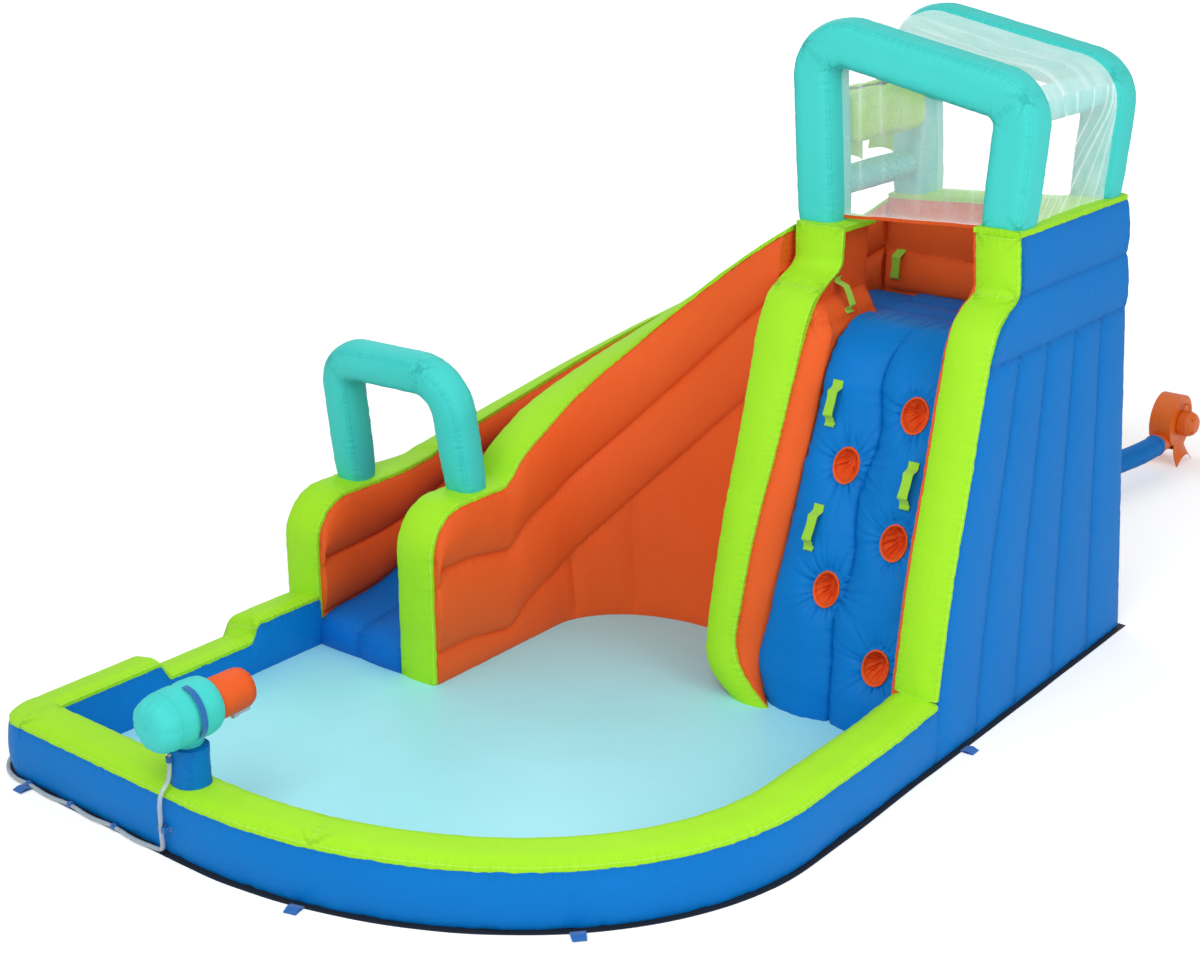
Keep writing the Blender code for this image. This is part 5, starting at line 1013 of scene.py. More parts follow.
def tower_back():
    """The back wall of upright tubes, its orange liner over the platform, and its rim."""
    back_total = BACK_WALL + BACK_LINER

    def right_edge(z):
        return right_outer(z) + SIDE_WALL

    def under_rim(u):
        """The rim's underside, which is level where the right wall's own rim reaches over the corner."""
        inset = mix(right_edge(RIM_RIGHT), LEFT_OUTER_TOP, u)
        return (rim_height(inset) if inset > right_inner(RIM_RIGHT) else RIM_RIGHT) - RIM_PANEL

    def behind(u, v, w):
        z = mix(FLOOR_Z, under_rim(u), v)
        ends = clamp((z - FLOOR_Z) / 0.06) * clamp((under_rim(u) - z) / 0.05)
        depth = BACK_WALL if w == 1 else -TOWER_BULGE * tubes(u, BACK_TUBES) * sqrt(ends)
        return spot(mix(right_edge(z), LEFT_OUTER_TOP, u), depth, z)

    uprights = [(0, k / BACK_TUBES) for k in range(BACK_TUBES + 1)]
    chamber("tower_back_wall", BLUE, [evenly(0, 1, 80), evenly(0, 1, 140), [0, 1]], behind,
            [*uprights, (1, 0), (1, 1)], puff=WALL_PUFF, pucker=WALL_PUCKER, spacing=WALL_FOLDS)

    def liner(u, v, w):
        """A fat lower tube on the platform under a flatter band."""
        z = mix(PLATFORM_TOP - PLATFORM_THICK, under_rim(u), v)
        share = (z - PLATFORM_TOP) / (BACK_LINER_SEAM - PLATFORM_TOP)
        if share < 1:
            swell = 0.030 * sqrt(max(0.0, sin(pi * clamp(share))))
        else:
            swell = 0.012 * sin(pi * clamp((z - BACK_LINER_SEAM) / (under_rim(u) - BACK_LINER_SEAM)))
        ends = clamp(min(u, 1 - u) / 0.05)
        inset = mix(right_edge(z), LEFT_OUTER_TOP, u)
        return spot(inset, mix(BACK_WALL + GAP, back_total, w) + w * swell * sqrt(ends), z)

    middle = (BACK_LINER_SEAM - PLATFORM_TOP + PLATFORM_THICK) / (under_rim(0.5) - PLATFORM_TOP + PLATFORM_THICK)
    chamber("tower_back_liner", ORANGE, [evenly(0, 1, 90), evenly(0, 1, 66), [0, 1]], liner,
            [(1, middle), (1, 1), (0, 0), (0, 1)], puff=0.004, pucker=0.0035)

    def over(u, v, w):
        inset = mix(right_inner(RIM_RIGHT), LEFT_OUTER_TOP, u)
        z = rim_height(inset) - RIM_PANEL * (1 - w) + RIM_CROWN * domed(v) * w
        return spot(inset, mix(0, back_total, v), z)

    rim("back", over)


def platform():
    """The deck at the top of the climb: three cushions up to the slide's doorway, flat in front of it."""
    back, front, padded = BACK_WALL + BACK_LINER, RIM_DEPTH - PLATFORM_SET_BACK, DOOR_DEPTH - 0.03

    def place(u, v, w):
        z = PLATFORM_TOP - PLATFORM_THICK * (1 - w)
        if w == 1:
            z += BED_CROWN * 0.8 * abs(sin(3 * pi * (v - back) / (padded - back))) ** 0.6
        left = LEFT_INNER if v < DOOR_DEPTH - 0.01 else LEFT_INNER - LEFT_BULGE
        return spot(mix(right_inner(z), left, u), v, z)

    depths = [*evenly(back, padded, 48), *evenly(DOOR_DEPTH, front, 8)]
    channels = [(1, mix(back, padded, k / 3)) for k in range(4)]
    chamber("platform", DEEP_BLUE, [evenly(0, 1, 60), depths, [0, 1]], place, [*channels, (0, 0), (0, 1)],
            puff=WALL_PUFF, pucker=WALL_PUCKER)


LEFT_SHARES = [0, 0.12, 0.35, 0.6, 0.8, 0.9, 0.96, 1]


def climb_left(z):
    """Left edge of the climbing wall, clear of the fat left tube and of its turned-in nose."""
    near = [max(0, z - 0.12), z, z + 0.12]
    return min(left_face(share, height) for share in LEFT_SHARES for height in near) - 0.001


def foothold_pitch():
    return (CLIMB_TOP - FOOTHOLD_FIRST - FOOTHOLD_TOP_MARGIN) / (FOOTHOLDS - 1)


def footholds():
    """(number, middle of the mouth, how much its lower edge leans out per metre) of each foothold."""
    for k in range(FOOTHOLDS):
        z = FOOTHOLD_FIRST + k * foothold_pitch()
        inset = (FOOTHOLD_LEFT if k % 2 else FOOTHOLD_RIGHT) + LEAN * z
        lean = (climb_face(z - 0.07) - climb_face(z + 0.07)) / 0.14
        yield k + 1, spot(inset, climb_face(z) + CLIMB_BULGE / 2, z), lean


def mouth_reach(x, z):
    """Distance from the middle of a foothold's oval mouth, measured so that its edge is at HOLE_RADIUS."""
    return hypot(x / MOUTH_SHAPE, z)


def climb_wall():
    """The climbing wall's two tubes with their footholds, and the hand loops sewn on it."""
    rear = RIM_DEPTH - PLATFORM_SET_BACK
    holes = list(footholds())
    top = [CLIMB_TOP - CREST_HEIGHT * (1 - sin(a)) for a in evenly(0, pi / 2, 40)]
    heights = [*evenly(FLOOR_Z, top[0], 220), *top[1:]]

    def place(u, v, w):
        """u is 0.5 in the groove between the two tubes, which wanders from hole to hole."""
        groove = 0.5 + GROOVE_WANDER * sin(2 * pi * (v - FOOTHOLD_FIRST) / (2 * foothold_pitch()))
        share = 2 * u * groove if u < 0.5 else groove + (2 * u - 1) * (1 - groove)
        left = climb_left(v)
        if w == 0:
            # Near the floor the front edge follows the left wall, so that no gap shows.
            depth_share = (climb_face(v) - DOOR_DEPTH) / (front_depth(v) - STRIP - DOOR_DEPTH)
            left = mix(left, left_face(depth_share, v) + 0.003, clamp((0.34 - v) / 0.14))
        inset = mix(right_inner(v), left, share)
        if w == 1:
            return spot(inset, max(climb_face(min(v, CLIMB_TOP - 0.05)) - CLIMB_THICK, rear), v)
        full = tubes(u, 2) * sqrt(min(1.0, (CLIMB_TOP - v) / 0.2))
        point = spot(inset, climb_face(v) + CLIMB_BULGE * (full - 0.5) + 0.020 * full, v)
        # The panels billow between the footholds.
        point.y -= BILLOW * ripple(u * 2.4, v * 3.2, 21) * clamp(v / 0.1)
        for number, middle, lean in holes:
            away = max(0.0, mouth_reach(point.x - middle.x, v - middle.z) - HOLE_RADIUS)
            if away < 0.15:
                mouth = middle.y - lean * (middle.z - v)
                point.y = mix(point.y, mouth + 0.006, exp(-((away / 0.045) ** 1.3)))
        return point

    def creases(u, v, w):
        """Folds that run out from each foothold, long ones to the sides and short fans above and below."""
        if w:
            return 0.0
        point, total = place(u, v, w), 0.0
        for number, middle, lean in holes:
            x, z = point.x - middle.x, v - middle.z
            reach = mouth_reach(x, z)
            away = max(0.0, reach - HOLE_RADIUS)
            if away > FOLD_REACH or reach == 0:
                continue
            fold_length = mix(0.040, 0.090, abs(x) / reach)
            ridge = abs(noise.noise((4.2 * x / reach, 4.2 * z / reach, number * 5.3))) * 2
            fine = abs(noise.noise((8 * x / reach, 8 * z / reach, number * 2.1 + away * 4))) * 2
            total -= MOUTH_FOLD * clamp(1 - ridge) ** 3 * exp(-away / fold_length) * clamp(away / 0.015)
            total -= MOUTH_FAN * clamp(1 - fine) ** 2 * exp(-away / 0.030) * clamp(away / 0.010)
        return total

    def cut(bm):
        """Opens each foothold and turns its edge in."""
        for number, middle, lean in holes:
            inside = []
            for face in bm.faces:
                at = face.calc_center_median()
                if face.normal.y < -0.1 and mouth_reach(at.x - middle.x, at.z - middle.z) < HOLE_RADIUS:
                    inside.append(face)
            bmesh.ops.delete(bm, geom=inside, context="FACES")
            edge = []
            for e in bm.edges:
                at = (e.verts[0].co + e.verts[1].co) / 2
                if e.is_boundary and hypot(at.x - middle.x, at.z - middle.z) < 1.4 * HOLE_RADIUS:
                    edge.append(e)
            for vert in {v for e in edge for v in e.verts}:
                scale = HOLE_RADIUS / mouth_reach(vert.co.x - middle.x, vert.co.z - middle.z)
                vert.co.x = middle.x + (vert.co.x - middle.x) * scale
                vert.co.z = middle.z + (vert.co.z - middle.z) * scale
            turned_in = bmesh.ops.extrude_edge_only(bm, edges=edge)["geom"]
            moved = [item for item in turned_in if isinstance(item, bmesh.types.BMVert)]
            bmesh.ops.translate(bm, vec=(0, 0.03, 0), verts=moved)

    wall = chamber("climb_wall", BLUE, [evenly(0, 1, 130), heights, [0, 1]], place,
                   [(0, 0), (0, 0.5), (0, 1), (1, CLIMB_TOP), (1, FLOOR_Z)],
                   puff=0.002, pucker=0.008, spacing=0.032, shape=creases, cut=cut, sharp=70)
    for number, middle, lean in holes:
        foothold(number, middle, lean)
    surface = surface_of(wall)
    for number, side, hole in ((1, LOOP_LEFT, 4), (2, LOOP_LEFT, 2), (3, LOOP_RIGHT, 3)):
        z = FOOTHOLD_FIRST + hole * foothold_pitch() - 0.02
        slope = Vector((0, climb_face(z - 0.1) - climb_face(z + 0.1), 0.2)).normalized()
        strap(f"hand_loop_{number}", GREEN_WEBBING, surface, spot(side + LEAN * z, climb_face(z), z), slope,
              (0, -1, 0.25), LOOP_LENGTH, LOOP_WIDTH, LOOP_RISE, 0.012)


def turn_profile(profile, segments):
    """A profile of (radius, height) spun round Z into a closed skin."""
    bm = bmesh.new()
    verts = [bm.verts.new((r, 0, h)) for r, h in profile]
    edges = [bm.edges.new(pair) for pair in zip(verts[:-1], verts[1:])]
    bmesh.ops.spin(bm, geom=verts + edges, cent=(0, 0, 0), axis=(0, 0, 1), angle=2 * pi, steps=segments,
                   use_merge=True, use_duplicate=False)
    bmesh.ops.remove_doubles(bm, verts=bm.verts, dist=1e-5)
    face_outwards(bm)
    return bm


def sew_turned(bm, radius, measure):
    """The UV map "seam" of a turned piece: metres round it, and measure(point) metres from its seam."""
    uv = bm.loops.layers.uv.new("seam")
    for face in bm.faces:
        middle = face.calc_center_median()
        turn = atan2(middle.y, middle.x)
        for loop in face.loops:
            here = atan2(loop.vert.co.y, loop.vert.co.x)
            here += 2 * pi * round((turn - here) / (2 * pi))
            loop[uv].uv = (here * radius, measure(loop.vert.co))


def foothold(number, middle, lean):
    """An orange pocket with a rolled hem and folds that run in from it."""
    r, deepest = HOLE_RADIUS, 0.65 * HOLE_DEPTH
    hem = [(r - 0.003, 0.010), (r + 0.001, 0.005), (r + 0.0022, 0.000), (r + 0.001, -0.0035), (r - 0.002, -0.0045),
           (r - 0.0045, -0.003), (r - 0.006, 0.001), (r - 0.0065, 0.006)]
    deep = [(r - 0.0065 - 0.016 * t**2, 0.006 + (deepest - 0.030) * t) for t in evenly(0, 1, 16)[1:]]
    bottom = [(0.040, deepest - 0.012), (0.030, deepest - 0.006), (0.016, deepest - 0.001), (0, deepest)]
    bm = turn_profile(hem + deep + bottom, 96)
    sew_turned(bm, r, lambda co: abs(co.z) if co.z < 0.01 else 0.01 + co.z)
    for vert in bm.verts:
        x, y, inward = vert.co
        reach = hypot(x, y)
        if reach > 0.001:
            a, b = x / reach, y / reach
            depth = clamp(inward / 0.04)
            ridge = clamp(1 - 3.2 * abs(noise.noise((2.6 * a, 2.6 * b, number * 3.1 + inward * 5))))
            wave = noise.noise((4 * a, 4 * b, number * 3.1 + inward * 6))
            fold = -0.017 * ridge**2 * depth + wave * 0.008 * depth
            pinch = noise.noise((9 * a, 9 * b, number * 1.7)) * 0.0016
            vert.co.x, vert.co.y = (x + a * (fold + pinch)) * MOUTH_SHAPE, y + b * (fold + pinch)
        up = vert.co.y
        spread = clamp(1 - inward / deepest)
        vert.co = middle + Vector((vert.co.x, inward + up * lean * spread, up))
    face_outwards(bm)
    # The pocket's bottom has to face the climber.
    low = [face for face in bm.faces if face.calc_center_median().y > middle.y + deepest - 0.02]
    if sum(face.normal.y * face.calc_area() for face in low) > 0:
        bmesh.ops.reverse_faces(bm, faces=bm.faces)
    dress(f"foothold_{number}_pocket", bm, ORANGE, [f"foothold_{number}"])


def strap(node_name, finish, surface, middle, run, out, length, width, rise, kink):
    """Webbing sewn flat at both ends that stands off in between; kink folds its lower end over."""
    run, out = Vector(run).normalized(), Vector(out).normalized()
    across = run.cross(out).normalized()
    stations = evenly(-1, 1, 54)

    def height(u, v):
        start = middle + run * (u * length / 2) + across * (v * width / 2)
        hit = surface.ray_cast(start + out * 0.3, -out)[0]
        return (hit - start).dot(out) if hit else 0.0

    probes = [(step, v) for step in (-0.07, 0, 0.07) for v in (-1, -0.4, 0.4, 1)]
    level = {u: max(height(u + step, v) for step, v in probes) for u in stations}
    low, high = level[stations[7]], level[stations[47]]

    def place(u, v, w):
        """Sewn down beyond STRAP_SEWN of its half length, free inside it."""
        base = level[u] if abs(u) > STRAP_SEWN else mix(low, high, (u + STRAP_SEWN) / (2 * STRAP_SEWN))
        stand = clamp((STRAP_SEWN - abs(u)) / 0.26)
        lift = rise * stand * stand * (3 - 2 * stand)
        fold = kink * (exp(-(((u + 0.70) / 0.07) ** 2)) + 0.6 * exp(-(((u + 0.95) / 0.05) ** 2)))
        twist = 0.10 * width * sin(2.2 * u + 0.6)
        narrow = 1 - 0.12 * exp(-((u / 0.5) ** 4))
        sideways = v * width / 2 * narrow + twist * (1 - abs(u))
        flat = middle + run * (u * length / 2 + fold * 0.4) + across * sideways
        return flat + out * (base + lift + fold * (1 + 0.5 * v) + 0.0006 + w * STRAP_THICK)

    chamber(node_name, finish, [stations, evenly(-1, 1, 6), [0, 1]], place, [(1, -1)],
            puff=0.0, pucker=0.0006, wrinkle=0.0, sharp=40)


def tower_loops():
    """The hand loops inside the tower: one on the left wall at the top of the climb, one by the slide's door."""
    short = LOOP_LENGTH * 0.75
    height = CLIMB_TOP + short / 2 + 0.005
    middle = spot(LEFT_INNER, mix(DOOR_DEPTH, front_depth(height), 0.56), height)
    door = spot(LEFT_INNER + 0.13, BACK_WALL + BACK_LINER, PLATFORM_TOP + 0.11)
    for name, wall, place, out, long, rise in (
        ("hand_loop_4", "tower_left_wall", middle, (1, 0, 0), short, LOOP_RISE),
        ("hand_loop_5", "tower_back_liner", door, (0, -1, 0), LOOP_LENGTH, LOOP_RISE + 0.012),
    ):
        surface = surface_of(frame["nodes"][wall])
        strap(name, GREEN_WEBBING, surface, place, (0, 0, 1), out, long, LOOP_WIDTH, rise, 0.010)


# Arches, bars and nets


def arch_path(depth):
    """Centre line of a tower arch, from its left foot over the sloping top to its right foot."""
    middle = LEAN * RIM_RIGHT + (SIDE_WALL + SIDE_LINER) / 2
    corners = [(LEFT_LEG, RIM_LEFT), (LEFT_LEG + ARCH_SPREAD, ARCH_TOP_LEFT), (middle - 0.03, ARCH_TOP_RIGHT),
               (middle, RIM_RIGHT)]
    return rounded_path([spot(i, depth, z) for i, z in corners], ARCH_CORNER)


def leg_inset(z):
    """Middle of the left legs of both tower arches at a height."""
    return LEFT_LEG + ARCH_SPREAD * (z - RIM_LEFT) / (ARCH_TOP_LEFT - RIM_LEFT)


def arches():
    """The two tall arches over the tower, and the two bars between them."""
    for name, depth, foot in (
        ("front_arch", FRONT_ARCH_AT, lambda p: RIM_LEFT),
        ("rear_arch", REAR_ARCH_AT, lambda p: rim_height(RIGHT_X - p.x)),
    ):
        tube(name, TEAL, arch_path(depth), (0, 1, 0), ARCH_TUBE / 2, ARCH_DEPTH / 2, power=4,
             feet=(foot, lambda p: RIM_RIGHT), mitres=(0.335, 0.775), ring=12, puff=0.002, swell=0.02, pinch=0.05)
    front, rear = FRONT_ARCH_AT - ARCH_DEPTH / 2 + 0.012, REAR_ARCH_AT + ARCH_DEPTH / 2 - 0.012
    middle = LEAN * RIM_RIGHT + (SIDE_WALL + SIDE_LINER) / 2
    for name, inset, height, width in (
        ("entry_bar", leg_inset(ENTRY_BAR_HEIGHT), ENTRY_BAR_HEIGHT, ENTRY_BAR),
        ("roof_bar", middle, ROOF_BAR_HEIGHT, ROOF_BAR),
    ):
        tube(name, TEAL, [spot(inset, rear, height), spot(inset, front, height)], (1, 0, 0), width / 2, width / 2,
             puff=0.002, pinch=0.10)


def net(node_name, across, along_it, place, fold):
    """A single layer of net: place(u, v) gives its points and fold(u, v) how much of it is threads there."""
    bm = bmesh.new()
    bmesh.ops.create_grid(bm, x_segments=across, y_segments=along_it, size=0.5)
    layer = bm.verts.layers.float.new("fold")
    for vert in bm.verts:
        u, v = vert.co.x + 0.5, vert.co.y + 0.5
        vert.co = place(u, v)
        vert[layer] = fold(u, v)
    bm.normal_update()
    return dress(f"{node_name}_mesh", bm, MESH, [node_name], sharp=80)


def crease(x, at, width):
    return exp(-abs(x - at) / width)


def nets():
    """Safety nets: over the roof and down the right side, across the front above the hem, and at the back."""
    front, rear = FRONT_ARCH_AT - 0.055, REAR_ARCH_AT + 0.055
    path = respaced(arch_path(0), TUBE_STEP)
    middle = sum(path, Vector()) / len(path)
    outline = []
    for k, point in enumerate(path):
        run = (path[min(k + 1, len(path) - 1)] - path[max(k - 1, 0)]).normalized()
        outline.append(point + run.cross(Vector((0, 1, 0))) * -1 * (ARCH_TUBE / 2 * 0.80))
    # The net lies on the tubes' outer side, whichever way that path ran.
    if (outline[len(path) // 2] - middle).length < (path[len(path) // 2] - middle).length:
        outline = [2 * a - b for a, b in zip(path, outline)]
    # The left legs stay bare, and so does the bend above them.
    outline = [p for p in outline if p.x > outline[0].x + 0.10 or p.z > ARCH_TOP_LEFT - 0.01]
    last = len(outline) - 1
    over_roof = next(k for k, p in enumerate(outline) if p.x > spot(0.20, 0, 0).x and p.z < ARCH_TOP_RIGHT) / last

    def canopy(u, v):
        k = u * last
        point = outline[int(k)].lerp(outline[min(int(k) + 1, last)], k - int(k))
        depth = mix(rear, front, v)
        sag = 4 * v * (1 - v)
        roof = clamp((over_roof - u) / 0.2)
        point = Vector((point.x, BACK_Y - depth, point.z))
        point.z -= 0.020 * sag * roof + 0.006 * ripple(u * 9, v * 3, 1) * sag * roof
        if u > over_roof:
            down = (u - over_roof) / (1 - over_roof)
            point.x -= 0.016 * sag * sqrt(down) + 0.004 * ripple((v - 0.5 * down) * 12, down, 2) * sag
            point.z = max(point.z, RIM_RIGHT + 0.002)
        return point

    side_folds_and_highlights = ((0.30, 0.92, 0.50), (0.12, 0.80, 0.42), (0.05, 0.62, 0.50), (0.03, 0.38, 0.36),
                  (0.55, 0.98, 0.30), (0.02, 0.18, 0.34), (0.75, 0.60, 0.20))
    roof_folds = ((0.92, 0.05, 0.25), (0.80, -0.15, 0.18), (0.62, 0.2, 0.12), (0.35, 0.1, 0.10))

    def canopy_folds_and_highlights(u, v):
        cover = 0.24 + 0.10 * abs(ripple(u * 7, v * 5, 3))
        if u > over_roof:
            down = (u - over_roof) / (1 - over_roof)
            # Lines where the net lies folded over itself, drawn strong enough to stand in for the white highlights
            # along them: part real doubled net, part painted highlight.
            for top, foot, strength in side_folds_and_highlights:
                cover += strength * crease(v, mix(top, foot, down), 0.008) * (1 - 0.4 * down)
            cover += 0.20 * exp(-(1 - down) / 0.05) + 0.10 * exp(-down / 0.04)
        else:
            cover += 0.12
            for at, lean, strength in roof_folds:
                cover += strength * crease(v, at + lean * (u / over_roof - 0.5), 0.018)
        return min(cover, 0.8)

    roof = net("canopy_net", 190, 90, canopy, canopy_folds_and_highlights)

    inner = ARCH_TUBE / 2 - 0.006
    right = right_inner(RIM_RIGHT) - 0.004

    def opening(depth, low):
        """Fills an arch's opening from low(u) up, u being the share from its left leg to its right one."""
        def place(u, v):
            top = mix(ARCH_TOP_LEFT - inner - 0.02, ARCH_TOP_RIGHT - inner - 0.02, u)
            corner = 0.05 * max(0.0, 1 - min(u, 1 - u) / 0.09) ** 2
            z = mix(low(u), top - corner, v)
            inset = mix(leg_inset(z) - inner, right, u)
            return spot(inset, depth + 0.006 * ripple(u * 6, v * 2, depth) * sin(pi * v), z)

        return place

    def upright_folds(seed, hem, creases):
        """Slack folds down a hung net, and the doubled edge at its hem."""
        def cover(u, v):
            total = 0.20 + 0.05 * abs(ripple(u * 6, v * 3, seed))
            for at, lean, strength in creases:
                total += strength * crease(u, at + lean * v, 0.010) * (0.3 + 0.7 * v)
            return min(total + hem * exp(-v / 0.02), 0.7)

        return cover

    def hem_level(u):
        """The hem runs from one post's top to the other's, which is a little higher."""
        return mix(HEM_LEVEL - 0.004, HEM_LEVEL + 0.035, u)

    def rear_edge(u):
        return rim_height(mix(leg_inset(RIM_LEFT), right, u)) + 0.002

    front_creases = ((0.12, 0.02, 0.20), (0.30, -0.03, 0.12), (0.52, 0.05, 0.10), (0.72, 0.02, 0.14),
                     (0.90, -0.02, 0.20))
    rear_creases = ((0.15, 0.04, 0.16), (0.42, -0.05, 0.12), (0.68, 0.04, 0.12), (0.88, 0.0, 0.18))
    front_piece = net("front_net", 110, 70, opening(FRONT_ARCH_AT, lambda u: hem_level(u) + 0.012),
                      upright_folds(5, 0.25, front_creases))
    rear_piece = net("rear_net", 110, 70, opening(REAR_ARCH_AT, rear_edge), upright_folds(8, 0.0, rear_creases))

    def hem(u, v, w):
        z = hem_level(u) + 0.013 * v
        inset = mix(leg_inset(z) - inner, right, u)
        depth = FRONT_ARCH_AT + 0.0025 * w + 0.002 * ripple(u * 9, 0, 4)
        return spot(inset, depth, z - 0.002 * ripple(u * 5, 1, 4))

    strip = chamber("front_hem", ORANGE, [evenly(0, 1, 110), evenly(0, 1, 4), [0, 1]], hem, [(1, 1)], puff=0.0,
                    pucker=0.001, wrinkle=0.0)
    for piece, held, rests, extra in (
        (roof, "stretched", ("front_arch_fabric", "rear_arch_fabric"), ()),
        (front_piece, "hung", ("front_arch_fabric",), (strip,)),
        (rear_piece, "hung", ("rear_arch_fabric",), ()),
    ):
        declare_sheet(piece, rests, extra)


def declare_sheet(piece, rests, extra=()):
    """Works out a sheet's flat cut, its area and the rectangle it fits in; nothing is done with them."""
    mesh = piece.data
    area = sum(face.area for face in mesh.polygons)
    closed = len(mesh.edges) * 2 == len(mesh.loops)
    area = area / 2 if closed else area
    low = [min(v.co[k] for v in mesh.vertices) for k in range(3)]
    high = [max(v.co[k] for v in mesh.vertices) for k in range(3)]
    sides = sorted((high[k] - low[k] for k in range(3)), reverse=True)
    wide, long = sides[1], max(sides[0], 1.02 * area / sides[1])
    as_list(rests)
    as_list(extra)


# Drench bucket


def bucket():
    """A long loaf of green cloth, open along its top, with a slot's turned-in edge and two pointed flaps below."""
    pivot = spot(leg_inset(BUCKET_PIVOT), 0, BUCKET_PIVOT)
    centre = pivot - Vector((0, 0, BUCKET_PIVOT_RISE))
    front, rear = FRONT_ARCH_AT - ARCH_DEPTH / 2, REAR_ARCH_AT + ARCH_DEPTH / 2
    middle = BACK_Y - (front + rear) / 2
    length = front - rear - 2 * BUCKET_END_GAP

    def loaf(u, v, w):
        a, b = squared_disc(v, w, 3.4)
        ends = 1 - 0.12 * exp(-(1 - abs(u)) * length / 2 / 0.03)
        sag = 0.010 * (1 - u * u) - 0.010
        x = a * (BUCKET_WIDTH / 2 - 0.002) * ends
        z = b * (BUCKET_HEIGHT / 2 - 0.003) * ends + sag * (w < 0)
        return Vector((centre.x + x, middle + u * (length / 2 - 0.003), centre.z + z))

    def dents(u, v, w):
        """The slack top and sides of an empty bucket."""
        return 0.004 * ripple(u * 2.2, v * 1.1 + w * 1.4, 11) - 0.005 * exp(-(((u - 0.15) / 0.12) ** 2)) * (w > 0)

    def cut(bm):
        """Opens the slot along the top and the bore at each end, then gives the cloth its thickness."""
        gone = []
        for face in bm.faces:
            at = face.calc_center_median()
            in_slot = abs(at.x - centre.x) < BUCKET_SLOT / 4 and abs(at.y - middle) < length / 2 - 0.05
            at_bore = hypot(at.x - pivot.x, at.z - pivot.z) < 0.016 and abs(at.y - middle) > length / 2 - 0.02
            if in_slot and at.z > centre.z or at_bore:
                gone.append(face)
        bmesh.ops.delete(bm, geom=gone, context="FACES")
        bmesh.ops.solidify(bm, geom=bm.faces[:], thickness=0.005)

    seams = [(0, -1), (0, 1), (1, -1), (1, 1), (0, 0.15)]
    chamber("drench_bucket", GREEN_CLOTH, [evenly(-1, 1, 60), evenly(-1, 1, 18), evenly(-1, 1, 18)], loaf, seams,
            puff=0.0, pucker=0.002, body="bucket", shape=dents, cut=cut)
    for name, side, turn in (("flap_front", 0.18, 0.10), ("flap_rear", -0.26, -0.14)):
        bm = bmesh.new()
        bmesh.ops.create_grid(bm, x_segments=14, y_segments=12, size=0.5)
        for vert in bm.verts:
            u, v = 2 * vert.co.x, 0.5 - vert.co.y
            wide = 0.054 * (1 + 0.10 * v)
            drop = BUCKET_TAB * v * (0.86 + 0.14 * u * u)
            wave = 0.006 * sin(2.6 * u + 1) * v
            vert.co = Vector((centre.x + u * wide, middle + side * length + wave + turn * u * 0.03,
                              centre.z - BUCKET_HEIGHT / 2 + 0.006 - drop))
        bmesh.ops.solidify(bm, geom=bm.faces[:], thickness=0.004)
        face_outwards(bm)
        lay_seam_map(bm, lambda vert: (vert.co.x, 0.02 + abs(vert.co.z - centre.z + BUCKET_HEIGHT / 2)))
        dress(f"bucket_{name}", bm, GREEN_CLOTH, ["drench_bucket"], "bucket")


# Water cannon and hose


def turned_piece(name, node_names, finish, profile, segments, centre, direction, body="park", seam_at=0.0,
                 shape=None):
    """A sewn piece turned about an axis; shape(share round, height) moves its skin in or out."""
    bm = turn_profile(profile, segments)
    radius = max(r for r, h in profile)
    sew_turned(bm, radius, lambda co: abs(co.z - seam_at))
    for vert in bm.verts:
        reach = hypot(vert.co.x, vert.co.y)
        if shape and reach > 0.002:
            scale = 1 + shape(atan2(vert.co.y, vert.co.x), vert.co.z) / reach
            vert.co.x, vert.co.y = vert.co.x * scale, vert.co.y * scale
    turn = Vector(direction).to_track_quat("Z", "Y").to_matrix().to_4x4()
    bmesh.ops.transform(bm, matrix=Matrix.Translation(centre) @ turn, verts=bm.verts)
    bm.normal_update()
    return dress(name, bm, finish, node_names, body)


